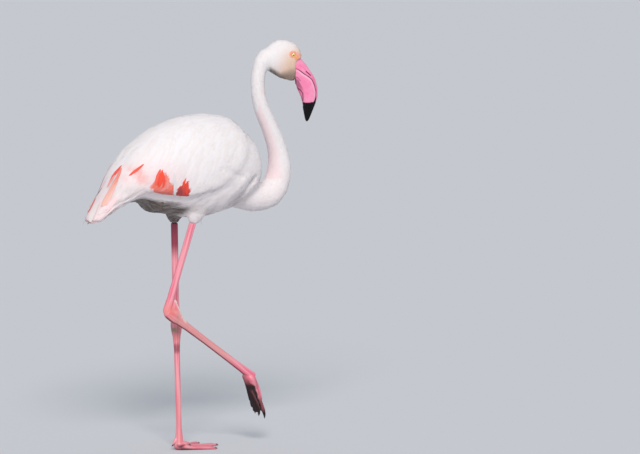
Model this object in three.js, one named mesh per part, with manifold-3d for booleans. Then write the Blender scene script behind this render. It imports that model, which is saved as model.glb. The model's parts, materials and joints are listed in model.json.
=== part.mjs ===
// Greater flamingo at life size. It stands on its left leg and holds the right foot up, toes hanging.
// Frame: millimetres, +X to the bird's front, +Y to its left, +Z up. The origin is on the sole of the
// standing foot, straight below the shank, in the middle plane of the body.
import * as THREE from 'three';
import { mergeVertices } from 'three/addons/utils/BufferGeometryUtils.js';
import Module from 'manifold-3d';

const wasm = await Module();
wasm.setup();

// ---- Driving dimensions ----
const gap = 0.3;                 // clearance between parts that touch
const tipSize = 0.8;             // half-size of the blunt end of a tapered form
const weld = 1e-3;               // vertices closer than this are one
const reach = 1000;              // half-length of a cutting block, larger than the bird

const wingRise = 5;              // the folded wings stand this proud of the body plumage
const wingDepth = 11;            // and lie this deep in it
const tailCut = -128;            // station where the tail leaves the trunk

// Side view of the folded wing's edge: front of the back, bend of the wing, lowest point of the coverts,
// first long feather and wing tip.
const wingEdge = {
  shoulder: [100, 760], bend: [122, 618], low: [-24, 546], arm: [-104, 555], tip: [-222, 492],
  feathers: 5, notchDepth: 8, notchPlace: 0.45, behind: -260,
};

const headPlace = { x: 219.6, z: 818, turn: -20 };   // skull pivot, and its turn to the bird's right
const eye = { forward: 51, side: 14.3, up: 3, radius: 6 };

// Hips, and the joints below them. The shank meets the hock at "ankle", behind the joint's middle when
// the leg is bent.
const legPlace = {
  left: { hip: [1.4, 22, 528], ankle: [0.6, 12, 262.6], hock: [0.6, 12, 262.6], toes: [0, 0, 15] },
  right: { hip: [24, -40, 525], ankle: [-47, -30, 303], hock: [-39.8, -30, 296], toes: [169.5, -20, 143.8] },
};
const bareFrom = 0.19;           // share of the way from hip to hock where the bare shank begins
const thigh = { wide: 24, deep: 26 };
const shankRadius = 6.2;
const tarsusRadius = 5.9;
const hock = { length: 20, wide: 8.6, front: 12.5, back: 13 };

const palm = { forward: 7, long: 20, wide: 13, deep: 9.5, level: 8 };   // of the flat foot
const toeLength = { inner: 76, middle: 94, outer: 80 };
const toeRadius = 5.2;
const toeRoot = 5.5;             // the side toes start this far from the middle one
const foldWithin = 22;           // and have folded back fully at this distance along them
const web = { thickness: 2.2, start: 4, share: 0.84, hollow: 0.16 };
const standing = { spread: 25, fold: 0, drop: 0 };    // degrees between toes, slack of the web, pitch
const hanging = { spread: 0.5, fold: 13, drop: 67.5 };

// ---- Sections of the long forms. "wide" is the half-width; "up" and "down" are the depths each side
// of the centre line, and "half" stands for all three ----
const bodySections = [
  { x: 189, z: 604, wide: 24, up: 28, down: 30 },
  { x: 173, z: 601, wide: 50, up: 57, down: 60 },
  { x: 146, z: 597, wide: 66, up: 79, down: 84 },
  { x: 100, z: 595, wide: 82, up: 97, down: 104 },
  { x: 36, z: 594, wide: 90, up: 105, down: 110 },
  { x: -24, z: 594, wide: 87, up: 98, down: 100 },
  { x: -80, z: 588, wide: 75, up: 76, down: 75 },
  { x: -126, z: 569, wide: 57, up: 42, down: 44 },
  { x: -161, z: 540, wide: 41, up: 18, down: 23 },
  { x: -193, z: 515, wide: 28, up: 11, down: 12 },
  { x: -218, z: 495, wide: 16, up: 4, down: 4 },
];
const rumpAndTailSections = [
  { x: -78, z: 588, wide: 62, up: 62, down: 72 },
  { x: -118, z: 566, wide: 46, up: 30, down: 40 },
  { x: -150, z: 543, wide: 37, up: 12, down: 18 },
  { x: -182, z: 518, wide: 33, up: 5, down: 7 },
  { x: -208, z: 497, wide: 25, up: 2, down: 3 },
];
const neckSections = [
  { x: 112, z: 548, half: 36 },
  { x: 186, z: 522, half: 31 },
  { x: 228, z: 530, half: 29.5 },
  { x: 247, z: 573, half: 26 },
  { x: 242, z: 620, half: 20.8 },
  { x: 223, z: 669, half: 18.2 },
  { x: 203, z: 711, half: 16.6 },
  { x: 194, z: 755, half: 15.2 },
  { x: 197, z: 787, half: 15.4 },
  { x: 213, z: 815, half: 19.5 },
  { x: 238, z: 818, half: 19.5 },
];
const neckCuts = [0, 0.37, 0.62, 1];   // the three lengths of the neck, as shares of its run
const neckCutGap = 0.0006;             // the clearance at a cut, as a share of the run

// Head and bill are drawn in the head's own upright plane: x forward from the skull pivot, z up.
const headSections = [
  { x: -14, z: 1, wide: 15, up: 17, down: 12 },
  { x: -4, z: -2.5, wide: 18.5, up: 28, down: 20 },
  { x: 9.7, z: -5, wide: 21.5, up: 37, down: 31 },
  { x: 24, z: -6.5, wide: 23, up: 42, down: 38 },
  { x: 38, z: -9, wide: 22.5, up: 42, down: 41 },
  { x: 50, z: -12.5, wide: 20.5, up: 37, down: 40 },
  { x: 58, z: -15.5, wide: 18, up: 30, down: 40 },
  { x: 65, z: -18, wide: 16.5, up: 20, down: 39 },
  { x: 72, z: -20.5, wide: 14.5, up: 4, down: 37.5 },
];
const billSections = [
  { x: 50.5, z: -15, wide: 16.5, up: 20, down: 30 },
  { x: 65.5, z: -36, wide: 16, up: 23, down: 22 },
  { x: 75.5, z: -53, wide: 15, up: 22, down: 21.5 },
  { x: 82.5, z: -66, wide: 14.2, up: 22, down: 21.5 },
  { x: 87, z: -81, wide: 13, up: 20.5, down: 19.5 },
  { x: 87.5, z: -97, wide: 11.2, up: 16.2, down: 16 },
  { x: 86, z: -113, wide: 8.6, up: 11.3, down: 11.2 },
  { x: 84.3, z: -128, wide: 6, up: 7, down: 6.6 },
  { x: 83, z: -140.5, wide: 3, up: 2.6, down: 2.4 },
];
const mouthLine = [[58, -26], [67.6, -32.5], [79.4, -42.6], [90, -53], [97.7, -64.4], [101.4, -77.5],
  [100.6, -92], [96.6, -105], [90.3, -121.5], [83, -140], [80, -150]];
// The border of the feathered face: straight up from the chin, then forward below the brow.
const faceBorder = [[58, -12], [61, -8], [66, -5.5], [73, -5]];
const clearOfBill = { forward: 150, up: 20, down: -150, side: 40 };

// ---- Finishes ----
const plumageWhite = new THREE.MeshStandardMaterial({ color: '#f4eeee', roughness: 0.9 });
const neckWhite = new THREE.MeshStandardMaterial({ color: '#f3e6e2', roughness: 0.9 });
const wingWhite = new THREE.MeshStandardMaterial({ color: '#f6dcd6', roughness: 0.85 });
const headCream = new THREE.MeshStandardMaterial({ color: '#ecd3c4', roughness: 0.85 });
const billPink = new THREE.MeshStandardMaterial({ color: '#f58fb0', roughness: 0.4 });
const eyeYellow = new THREE.MeshStandardMaterial({ color: '#e8d67a', roughness: 0.1 });
const legPink = new THREE.MeshStandardMaterial({ color: '#e4798c', roughness: 0.5 });
const footRed = new THREE.MeshStandardMaterial({ color: '#b7505c', roughness: 0.5 });

// ---- Closed meshes to solids and back ----
function solidOf(geometry) {
  const bare = geometry.clone();
  bare.deleteAttribute('normal');
  bare.deleteAttribute('uv');
  const joined = mergeVertices(bare, weld);
  return new wasm.Manifold(new wasm.Mesh({
    numProp: 3,
    vertProperties: Float32Array.from(joined.attributes.position.array),
    triVerts: Uint32Array.from(joined.index.array),
  }));
}

function geometryOf(solid) {
  const { vertProperties, triVerts } = solid.getMesh();
  const geometry = new THREE.BufferGeometry();
  geometry.setAttribute('position', new THREE.BufferAttribute(vertProperties, 3));
  geometry.setIndex(new THREE.BufferAttribute(triVerts, 1));
  geometry.computeVertexNormals();
  return geometry;
}

// A cut can leave a sliver along an edge, so a node keeps its largest piece.
function node(name, solid, material) {
  const larger = (best, piece) => (piece.volume() > best.volume() ? piece : best);
  const mesh = new THREE.Mesh(geometryOf(solid.decompose().reduce(larger)), material);
  mesh.name = name;
  return mesh;
}

// All of space within reach, up to a value on one axis ("below") or from it ("above").
function halfSpace(axis, side, value) {
  const low = [-reach, -reach, -reach];
  const high = [reach, reach, reach];
  (side === 'below' ? high : low)[axis] = value;
  const box = new THREE.BoxGeometry(...high.map((top, index) => top - low[index]));
  return solidOf(box.translate(...high.map((top, index) => (top + low[index]) / 2)));
}

function ball(place, radius) {
  return solidOf(new THREE.SphereGeometry(radius, 9, 6).translate(...place));
}

// A side view extruded across the bird, drawn with x forward and y up in the shape.
function sidePrism(outline, side) {
  const options = { depth: 2 * side, bevelEnabled: false, curveSegments: 5 };
  return solidOf(new THREE.ExtrudeGeometry(outline, options).translate(0, 0, -side).rotateX(Math.PI / 2));
}

function domeShare(share, length) {
  if (length <= 0 || share >= length) return 1;
  return Math.sqrt(1 - (1 - share / length) ** 2);
}

// A round form laid along a smooth centre line: a cylinder whose rings are carried to the sections. An end
// with a dome closes roundly over that share of the run, and "grow" makes the whole form fatter.
function loft(sections, { around, along, from = 0, to = 1, domes = [0, 0], grow = 0 }) {
  const points = [];
  const sizes = [];
  for (const section of sections) {
    const { x, y = 0, z, half, wide = half, up = half, down = half } = section;
    points.push(new THREE.Vector3(x, y, z));
    sizes.push(new THREE.Vector3(wide, up, down));
  }
  const centreLine = new THREE.CatmullRomCurve3(points);
  const sizeLine = new THREE.CatmullRomCurve3(sizes);
  const domed = domes[0] + domes[1] > 0;
  const across = new THREE.Vector3(0, 1, 0);
  const geometry = new THREE.CylinderGeometry(1, 1, 1, around, along);
  const position = geometry.attributes.position;
  for (let index = 0; index < position.count; index += 1) {
    const run = 0.5 - position.getY(index);
    const share = from + (to - from) * (domed ? (1 - Math.cos(Math.PI * run)) / 2 : run);
    const tangent = centreLine.getTangent(share);
    const side = across.clone().addScaledVector(tangent, -across.dot(tangent)).normalize();
    const upward = tangent.clone().cross(side);
    const size = sizeLine.getPoint(share);
    const dome = domeShare(share, domes[0]) * domeShare(1 - share, domes[1]);
    const lift = position.getZ(index);
    const wide = Math.max(size.x * dome, tipSize) + grow;
    const deep = Math.max((lift > 0 ? size.y : size.z) * dome, tipSize) + grow;
    const place = centreLine.getPoint(share)
      .addScaledVector(side, position.getX(index) * wide)
      .addScaledVector(upward, lift * deep);
    position.setXYZ(index, place.x, place.y, place.z);
  }
  return solidOf(geometry);
}

// ---- Trunk, wings and tail: one plumage form, parted along the edge of the folded wings ----
function plumage(grow) {
  return loft(bodySections, { around: 24, along: 17, domes: [0.05, 0.03], grow });
}

// What lies under the wings: the body a little slimmer, running out into the flat tail.
function core(grow) {
  const slimmer = ({ x, z, wide, up, down }) => (
    { x, z, wide: wide - wingDepth, up: up - wingDepth, down: down - wingDepth }
  );
  const sections = bodySections.slice(0, 6).map(slimmer).concat(rumpAndTailSections);
  return loft(sections, { around: 20, along: 14, domes: [0.05, 0.02], grow });
}

// The wing's side view, with its rear lower edge cut into feather tips. "spare" moves the edge outwards.
function wingPrism(spare) {
  const { shoulder, bend, low, arm, tip, feathers, notchDepth, notchPlace, behind } = wingEdge;
  const outline = new THREE.Shape();
  outline.moveTo(shoulder[0] + spare, shoulder[1]);
  outline.quadraticCurveTo(bend[0] + 38 + spare, bend[1] + 42, bend[0] + spare, bend[1] - spare);
  outline.quadraticCurveTo(bend[0] - 52, low[1] + 10 - spare, low[0], low[1] - spare);
  outline.quadraticCurveTo((low[0] + arm[0]) / 2, low[1] - spare, arm[0], arm[1] - spare);
  const start = new THREE.Vector2(...arm);
  const end = new THREE.Vector2(...tip);
  for (let feather = 1; feather <= feathers; feather += 1) {
    const notch = start.clone().lerp(end, (feather - notchPlace) / feathers);
    const point = start.clone().lerp(end, feather / feathers);
    outline.lineTo(notch.x, notch.y + notchDepth / 2 - spare);
    outline.lineTo(point.x, point.y - notchDepth / 2 - spare);
  }
  outline.lineTo(behind, tip[1] + notchDepth);
  outline.lineTo(behind, shoulder[1]);
  outline.closePath();
  return sidePrism(outline, 150);
}

function trunkNodes() {
  const wings = plumage(wingRise).intersect(wingPrism(0)).subtract(core(gap));
  const trunk = plumage(0).subtract(wingPrism(gap)).add(core(0));
  return [
    node('trunk', trunk.intersect(halfSpace(0, 'above', tailCut + gap)), plumageWhite),
    node('wing_left', wings.intersect(halfSpace(1, 'above', gap / 2)), wingWhite),
    node('wing_right', wings.intersect(halfSpace(1, 'below', -gap / 2)), wingWhite),
    node('tail', core(0).intersect(halfSpace(0, 'below', tailCut)), plumageWhite),
  ];
}

// ---- Head, bill and eyes, in the head's own frame ----
function skull(grow) {
  return loft(headSections, { around: 16, along: 13, domes: [0.1, 0.07], grow });
}

// Everything on the culmen's side of the mouth line. "shift" moves that line back and down.
function mouthPrism(shift) {
  const [start, ...rest] = mouthLine.map(([x, z]) => new THREE.Vector2(x - shift, z - shift));
  const outline = new THREE.Shape();
  outline.moveTo(start.x, start.y);
  outline.splineThru(rest);
  outline.lineTo(clearOfBill.forward, clearOfBill.down);
  outline.lineTo(clearOfBill.forward, clearOfBill.up);
  outline.lineTo(start.x, clearOfBill.up);
  outline.closePath();
  return sidePrism(outline, clearOfBill.side);
}

// Everything in front of the face's border, which "shift" moves forward and down.
function billPrism(shift) {
  const { forward, down } = clearOfBill;
  const border = faceBorder.map(([x, z]) => new THREE.Vector2(x + shift, z - shift));
  const top = border.at(-1).y;
  const corners = [[forward, top], [forward, down], [border[0].x, down]];
  const outline = new THREE.Shape([...border, ...corners.map(([x, z]) => new THREE.Vector2(x, z))]);
  return sidePrism(outline, clearOfBill.side);
}

function headGroup() {
  const bill = loft(billSections, { around: 12, along: 15, domes: [0, 0.04] }).intersect(billPrism(gap));
  const group = new THREE.Group();
  let head = skull(0).subtract(billPrism(0));
  for (const [name, hand] of [['eye_left', 1], ['eye_right', -1]]) {
    const place = [eye.forward, hand * eye.side, eye.up];
    head = head.subtract(ball(place, eye.radius + gap));
    group.add(node(name, ball(place, eye.radius), eyeYellow));
  }
  group.add(
    node('head', head, headCream),
    node('bill_upper', bill.intersect(mouthPrism(0)), billPink),
    node('bill_lower', bill.subtract(mouthPrism(gap * 1.4)), billPink),
  );
  group.position.set(headPlace.x, 0, headPlace.z);
  group.rotation.z = THREE.MathUtils.degToRad(headPlace.turn);
  group.updateMatrix();
  return group;
}

// ---- Neck, in three lengths that meet the breast below and the skull above ----
function neckNodes(skullPlace) {
  const names = ['neck_lower', 'neck_middle', 'neck_upper'];
  const neighbours = [plumage(gap), null, skull(gap).transform(skullPlace.toArray())];
  return names.map((name, index) => {
    const from = neckCuts[index] + (index > 0 ? neckCutGap : 0);
    const length = loft(neckSections, { around: 14, along: 8, from, to: neckCuts[index + 1] });
    const neighbour = neighbours[index];
    return node(name, neighbour ? length.subtract(neighbour) : length, neckWhite);
  });
}

// ---- Legs ----
const vectorOf = (place) => new THREE.Vector3(...place);

// A section at a distance along the line between two joints.
function legSection(from, to, distance, wide, front = wide, back = front) {
  const start = vectorOf(from);
  const { x, y, z } = vectorOf(to).sub(start).setLength(distance).add(start);
  return { x, y, z, wide, up: front, down: back };
}

function thighAndShank({ hip, ankle }) {
  const length = vectorOf(hip).distanceTo(vectorOf(ankle));
  const bare = length * bareFrom;
  const upper = (distance, ...sizes) => legSection(hip, ankle, Math.max(distance, 0.01), ...sizes);
  const feathered = loft([
    upper(0, thigh.wide, thigh.deep),
    upper(bare * 0.5, thigh.wide * 0.8, thigh.deep * 0.85),
    upper(bare * 0.82, thigh.wide * 0.5, thigh.deep * 0.58),
    upper(bare, shankRadius + 1, shankRadius + 1.4),
  ], { around: 10, along: 7 });
  const shank = loft([
    upper(bare + gap, shankRadius, shankRadius + 0.4),
    upper(length * 0.6, shankRadius - 0.6, shankRadius - 0.2),
    upper(length - hock.length * 1.4, shankRadius, shankRadius + 1),
    upper(length, hock.wide - 1, hock.front, hock.wide),
  ], { around: 10, along: 7 });
  return { feathered: feathered.subtract(plumage(gap)), shank };
}

// The hind toe grows from the back of the tarsus, a little above the front toes.
function tarsusAndHindToe(places, grow) {
  const length = vectorOf(places.hock).distanceTo(vectorOf(places.toes));
  const down = vectorOf(places.toes).sub(vectorOf(places.hock)).normalize();
  const back = new THREE.Vector3(0, 1, 0).cross(down);
  const lower = (distance, wide, front = wide, rear = front) => {
    const { x, y, z } = vectorOf(places.hock).addScaledVector(down, distance);
    return { x, y, z, wide, up: front, down: rear };
  };
  const hindToe = (distance, behind, half) => {
    const { x, y, z } = vectorOf(places.hock).addScaledVector(down, distance).addScaledVector(back, behind);
    return { x, y, z, half };
  };
  const tarsus = loft([
    lower(-hock.length * 0.5, hock.wide, hock.front - 3.5, hock.back - 2),
    lower(0, hock.wide, hock.front, hock.back),
    lower(hock.length * 0.7, hock.wide, hock.front - 0.5, hock.back - 1),
    lower(hock.length * 1.5, tarsusRadius + 1, tarsusRadius + 2.3),
    lower(length * 0.4, tarsusRadius, tarsusRadius + 0.3),
    lower(length * 0.8, tarsusRadius, tarsusRadius + 0.7),
    lower(length, tarsusRadius + 2, tarsusRadius + 3),
  ], { around: 10, along: 13, domes: [0.035, 0], grow });
  const toe = loft([
    hindToe(length - 12, 3, 3.6),
    hindToe(length - 5, 10, 3.2),
    hindToe(length + 4, 16, 1.2),
  ], { around: 7, along: 4, grow });
  return tarsus.add(toe);
}

// ---- Feet, each in its own frame: the sole on z = 0, the middle toe along x, the inner toe at +y ----
function alongToe(name, distance, { spread, fold }) {
  const hand = { inner: 1, middle: 0, outer: -1 }[name];
  const angle = THREE.MathUtils.degToRad(hand * spread);
  const drop = Math.abs(hand) * fold * Math.min(distance / foldWithin, 1);
  return new THREE.Vector3(distance * Math.cos(angle), hand * toeRoot + distance * Math.sin(angle), -drop);
}

function toe(name, pose) {
  const section = (share, half) => {
    const { x, y, z } = alongToe(name, toeLength[name] * share, pose);
    return { x, y, z: z + half * 0.8, half };
  };
  return loft([
    section(0.02, toeRadius + 0.8),
    section(0.3, toeRadius - 0.4),
    section(0.62, toeRadius - 1),
    section(0.86, toeRadius - 1.4),
    section(1, 1),
  ], { around: 8, along: 7 });
}

// A sheet stretched from one toe to the next, hollowed at its free edge and hanging slack by "fold".
function webSheet(rightToe, leftToe, pose) {
  const sheet = new THREE.BoxGeometry(1, 1, 1, 4, 4, 1).translate(0.5, 0.5, 0.5);
  const position = sheet.attributes.position;
  for (let index = 0; index < position.count; index += 1) {
    const [run, across, lift] = [position.getX(index), position.getY(index), position.getZ(index)];
    const sag = Math.sin(Math.PI * across);
    const share = run * (web.share - web.hollow * sag);
    const right = alongToe(rightToe, web.start + (toeLength[rightToe] - web.start) * share, pose);
    const left = alongToe(leftToe, web.start + (toeLength[leftToe] - web.start) * share, pose);
    const place = right.lerp(left, across);
    const height = place.z + web.thickness * lift - pose.fold * sag * Math.sqrt(run);
    position.setXYZ(index, place.x, place.y, height);
  }
  return solidOf(sheet);
}

function footSolid(pose) {
  const { long, wide, deep, forward, level } = palm;
  const pad = new THREE.SphereGeometry(1, 10, 6).scale(long, wide, deep + pose.fold * 0.15);
  let foot = solidOf(pad.translate(forward, 0, level - pose.fold * 0.6));
  for (const name of ['inner', 'middle', 'outer']) foot = foot.add(toe(name, pose));
  return foot.add(webSheet('middle', 'inner', pose)).add(webSheet('outer', 'middle', pose));
}

// The standing foot is pressed flat; the lifted one hangs from its joint with the toes drawn together.
function footGroup(hand, tarsusGrown) {
  const holder = new THREE.Group();
  const onFloor = hand === 'left';
  let foot = footSolid(onFloor ? standing : hanging);
  if (onFloor) {
    foot = foot.mirror([0, 1, 0]).intersect(halfSpace(2, 'above', 0));
  } else {
    holder.rotation.y = THREE.MathUtils.degToRad(hanging.drop);
    holder.position.set(0, 0, -palm.level).applyEuler(holder.rotation);
    holder.position.add(vectorOf(legPlace[hand].toes));
  }
  holder.updateMatrix();
  const tarsusHere = tarsusGrown.transform(holder.matrix.clone().invert().toArray());
  holder.add(node(`foot_${hand}`, foot.subtract(tarsusHere), footRed));
  return holder;
}

function legNodes(hand) {
  const places = legPlace[hand];
  const { feathered, shank } = thighAndShank(places);
  const tarsusGrown = tarsusAndHindToe(places, gap);
  return [
    node(`thigh_${hand}`, feathered, plumageWhite),
    node(`shank_${hand}`, shank.subtract(tarsusGrown), legPink),
    node(`tarsus_${hand}`, tarsusAndHindToe(places, 0), legPink),
    footGroup(hand, tarsusGrown),
  ];
}

// ---- The whole bird ----
const head = headGroup();
const group = new THREE.Group();
group.add(...trunkNodes(), head, ...neckNodes(head.matrix), ...legNodes('left'), ...legNodes('right'));

export default group;
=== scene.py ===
import json
import math

import bpy
import numpy as np
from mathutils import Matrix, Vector
from mathutils.bvhtree import BVHTree
from mathutils.kdtree import KDTree

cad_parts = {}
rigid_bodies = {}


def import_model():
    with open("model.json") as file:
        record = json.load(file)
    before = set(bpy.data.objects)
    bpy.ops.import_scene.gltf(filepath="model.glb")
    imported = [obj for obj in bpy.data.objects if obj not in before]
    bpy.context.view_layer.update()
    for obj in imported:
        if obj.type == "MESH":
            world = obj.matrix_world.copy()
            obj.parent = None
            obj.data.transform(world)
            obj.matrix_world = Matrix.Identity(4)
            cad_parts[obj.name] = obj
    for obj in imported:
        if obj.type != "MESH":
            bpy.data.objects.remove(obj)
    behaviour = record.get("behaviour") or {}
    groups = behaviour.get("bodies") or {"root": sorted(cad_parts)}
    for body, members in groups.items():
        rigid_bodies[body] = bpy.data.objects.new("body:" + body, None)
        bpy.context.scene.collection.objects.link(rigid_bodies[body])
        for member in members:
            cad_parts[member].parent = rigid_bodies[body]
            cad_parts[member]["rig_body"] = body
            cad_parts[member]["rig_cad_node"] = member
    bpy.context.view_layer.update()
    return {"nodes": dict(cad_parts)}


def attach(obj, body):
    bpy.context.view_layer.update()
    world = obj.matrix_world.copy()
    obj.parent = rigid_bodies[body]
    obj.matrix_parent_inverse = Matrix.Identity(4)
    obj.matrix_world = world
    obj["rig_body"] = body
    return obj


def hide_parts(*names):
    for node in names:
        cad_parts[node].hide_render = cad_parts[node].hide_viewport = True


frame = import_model()
mm = 0.001
chance = np.random.default_rng(11)
print("frame loaded:", len(frame["nodes"]), "nodes")


# where the camera looks from, in degrees and metres; "width" is what it takes in across the picture
view = {"azimuth": -32, "elevation": 8, "distance": 18, "right": 0.2955, "up": 0.4673, "width": 1.344,
        "reach": 100}


def makeCamera():
    # a long lens from far off, so that it sees the bird almost without perspective
    azimuth, elevation = math.radians(view["azimuth"]), math.radians(view["elevation"])
    level = math.cos(elevation)
    back = Vector((math.sin(azimuth) * level, -math.cos(azimuth) * level, math.sin(elevation)))
    right = Vector((math.cos(azimuth), math.sin(azimuth), 0))
    data = bpy.data.cameras.new("camera")
    camera = bpy.data.objects.new("camera", data)
    bpy.context.scene.collection.objects.link(camera)
    camera.location = right * view["right"] + back.cross(right) * view["up"] + back * view["distance"]
    camera.rotation_mode = "QUATERNION"
    camera.rotation_quaternion = back.to_track_quat("Z", "Y")
    data.lens = data.sensor_width * view["distance"] / view["width"]
    data.clip_end = view["reach"]
    bpy.context.scene.camera = camera


makeCamera()
print("camera placed")


def colour(code, alpha=1.0):
    # a hex colour as the linear values that a shader takes
    parts = [int(code[at:at + 2], 16) / 255 for at in (0, 2, 4)]
    return [part / 12.92 if part <= 0.04045 else ((part + 0.055) / 1.055) ** 2.4 for part in parts] + [alpha]


class Wire:
    # one output socket; sums and products on it add Math nodes
    def __init__(self, tree, socket):
        self.tree = tree
        self.socket = socket

    def maths(self, operation, first, second):
        return addNode(self.tree, "ShaderNodeMath", {"operation": operation}, {0: first, 1: second})

    def __add__(self, other):
        return self.maths("ADD", self, other)

    def __radd__(self, other):
        return self.maths("ADD", other, self)

    def __sub__(self, other):
        return self.maths("SUBTRACT", self, other)

    def __rsub__(self, other):
        return self.maths("SUBTRACT", other, self)

    def __mul__(self, other):
        return self.maths("MULTIPLY", self, other)

    def __rmul__(self, other):
        return self.maths("MULTIPLY", other, self)


def addNode(tree, kind, settings, values, output=0):
    # any other node: its settings first, then the values or wires of its sockets
    node = tree.nodes.new(kind)
    for key, value in settings.items():
        setattr(node, key, value)
    for key, value in values.items():
        if isinstance(value, Wire):
            tree.links.new(value.socket, node.inputs[key])
        else:
            node.inputs[key].default_value = value
    return Wire(tree, node.outputs[output])


def blendColours(tree, factor, first, second, mode="MIX"):
    settings = {"data_type": "RGBA", "blend_type": mode, "clamp_factor": True}
    return addNode(tree, "ShaderNodeMix", settings, {0: factor, 6: first, 7: second}, 2)


def attribute(tree, name):
    return addNode(tree, "ShaderNodeAttribute", {"attribute_name": name}, {}, "Fac")


def smoothStep(tree, value, low, high):
    settings = {"interpolation_type": "SMOOTHSTEP"}
    return addNode(tree, "ShaderNodeMapRange", settings, {"Value": value, 1: low, 2: high, 3: 0.0, 4: 1.0})


def newMaterial(name, constants):
    # a material whose shader holds these fixed values
    material = bpy.data.materials.new(name)
    material.use_nodes = True
    tree = material.node_tree
    shader = tree.nodes["Principled BSDF"]
    for key, value in constants.items():
        shader.inputs[key].default_value = value
    return material, tree, shader


def feed(tree, shader, **wires):
    # wires into the shader's own sockets; an underscore stands for the space in a socket's name
    for key, wire in wires.items():
        tree.links.new(wire.socket, shader.inputs[key.replace("_", " ")])


def activate(piece):
    bpy.ops.object.select_all(action="DESELECT")
    piece.select_set(True)
    bpy.context.view_layer.objects.active = piece


def applyModifier(piece, kind, **settings):
    activate(piece)
    modifier = piece.modifiers.new(kind, kind)
    for key, value in settings.items():
        setattr(modifier, key, value)
    bpy.ops.object.modifier_apply(modifier=modifier.name)


def smoothWhere(piece, weights, rounds):
    # smooths a piece only where its weights say so
    group = piece.vertex_groups.new(name="soft")
    for index in np.nonzero(weights > 0)[0]:
        group.add([int(index)], float(weights[index]), "REPLACE")
    applyModifier(piece, "SMOOTH", factor=0.5, iterations=rounds, vertex_group="soft")


def fusedCopy(name, nodes, swell, voxel, rounds, balls=()):
    # copies of the nodes swell until they touch, balls are added, and one surface is drawn round them all
    bpy.ops.object.select_all(action="DESELECT")
    for node in nodes:
        frame["nodes"][node].select_set(True)
    bpy.context.view_layer.objects.active = frame["nodes"][nodes[0]]
    bpy.ops.object.duplicate()
    copies = list(bpy.context.selected_objects)
    for x, y, z, radius, flat in balls:
        bpy.ops.mesh.primitive_uv_sphere_add(segments=24, ring_count=16, radius=radius * mm,
                                             location=(x * mm, y * mm, z * mm), scale=(1, flat, 1))
        copies.append(bpy.context.object)
    for copy in copies:
        copy.select_set(True)
    bpy.context.view_layer.objects.active = copies[0]
    bpy.ops.object.join()
    piece = bpy.context.view_layer.objects.active
    piece.name = piece.data.name = name
    piece.parent = None
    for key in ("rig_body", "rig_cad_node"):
        del piece[key]
    bpy.ops.object.mode_set(mode="EDIT")
    bpy.ops.mesh.select_all(action="SELECT")
    bpy.ops.mesh.remove_doubles(threshold=0.01 * mm)
    bpy.ops.object.mode_set(mode="OBJECT")
    piece.data.materials.clear()
    applyModifier(piece, "DISPLACE", strength=swell, mid_level=0)
    applyModifier(piece, "REMESH", mode="VOXEL", voxel_size=voxel, use_smooth_shade=True)
    applyModifier(piece, "SMOOTH", factor=0.5, iterations=rounds)
    return piece


def pointsOf(piece):
    flat = np.empty(len(piece.data.vertices) * 3)
    piece.data.vertices.foreach_get("co", flat)
    return flat.reshape(-1, 3)


def normalsOf(piece):
    flat = np.empty(len(piece.data.vertices) * 3)
    piece.data.vertices.foreach_get("normal", flat)
    return flat.reshape(-1, 3)


def movePoints(piece, points):
    piece.data.vertices.foreach_set("co", points.ravel())
    piece.data.update()


def setAttribute(piece, name, values):
    layer = piece.data.attributes.get(name) or piece.data.attributes.new(name, "FLOAT", "POINT")
    layer.data.foreach_set("value", np.asarray(values, np.float32).ravel())


def unit(vectors):
    # the same directions at a length of one
    return vectors / np.maximum(np.linalg.norm(vectors, axis=-1, keepdims=True), 1e-9)


def ease(value, low, high):
    # 0 up to low, 1 from high on, and a smooth rise between them
    share = np.clip((value - low) / (high - low), 0, 1)
    return share * share * (3 - 2 * share)


# shapes and places from here on are in millimetres
skull = {"x": 219.6, "z": 818, "turn": -20}     # pivot of the head and its turn to the right


def fromSkull(u, w, v):
    # a place in the head's own frame: u forward, w to the left, v up
    turn = math.radians(skull["turn"])
    return (skull["x"] + u * math.cos(turn) - w * math.sin(turn),
            u * math.sin(turn) + w * math.cos(turn), skull["z"] + v)


skullForward = np.array([math.cos(math.radians(skull["turn"])), math.sin(math.radians(skull["turn"])), 0])


def toSkull(points):
    turn = math.radians(skull["turn"])
    x, y, z = points[:, 0] - skull["x"], points[:, 1], points[:, 2] - skull["z"]
    return np.stack([x * math.cos(turn) + y * math.sin(turn),
                     y * math.cos(turn) - x * math.sin(turn), z], 1)


# centre lines from the bill back to the tail and down the thighs: x, y, z and the girth's half-width
lines = {
    "head": [(*fromSkull(62, 0, -18), 24), (*fromSkull(45, 0, -11), 33), (*fromSkull(25, 0, -6), 34),
             (*fromSkull(5, 0, -3), 27), (*fromSkull(-8, 0, 0), 21)],
    "neck": [(213, 0, 815, 19.5), (197, 0, 787, 15.4), (194, 0, 755, 15.2), (203, 0, 711, 16.6),
             (223, 0, 669, 18.2), (242, 0, 620, 20.8), (247, 0, 573, 26), (228, 0, 530, 29.5),
             (186, 0, 522, 31), (150, 0, 535, 33)],
    "body": [(165, 0, 600, 55), (146, 0, 597, 74), (100, 0, 595, 92), (36, 0, 594, 101),
             (-24, 0, 594, 95), (-80, 0, 588, 75), (-126, 0, 569, 48), (-161, 0, 540, 28),
             (-193, 0, 515, 16), (-218, 0, 495, 8)],
    "thighRight": [(20, -39, 515, 22), (12, -39, 492, 18), (8, -38, 480, 9)],
    "thighLeft": [(1.4, 21, 515, 22), (1.3, 20, 495, 18), (1.2, 20, 480, 9)],
}

lineNames = list(lines)
headLine, neckLine, bodyLine = 0, 1, 2     # their numbers; the two thighs come after the body

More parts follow.
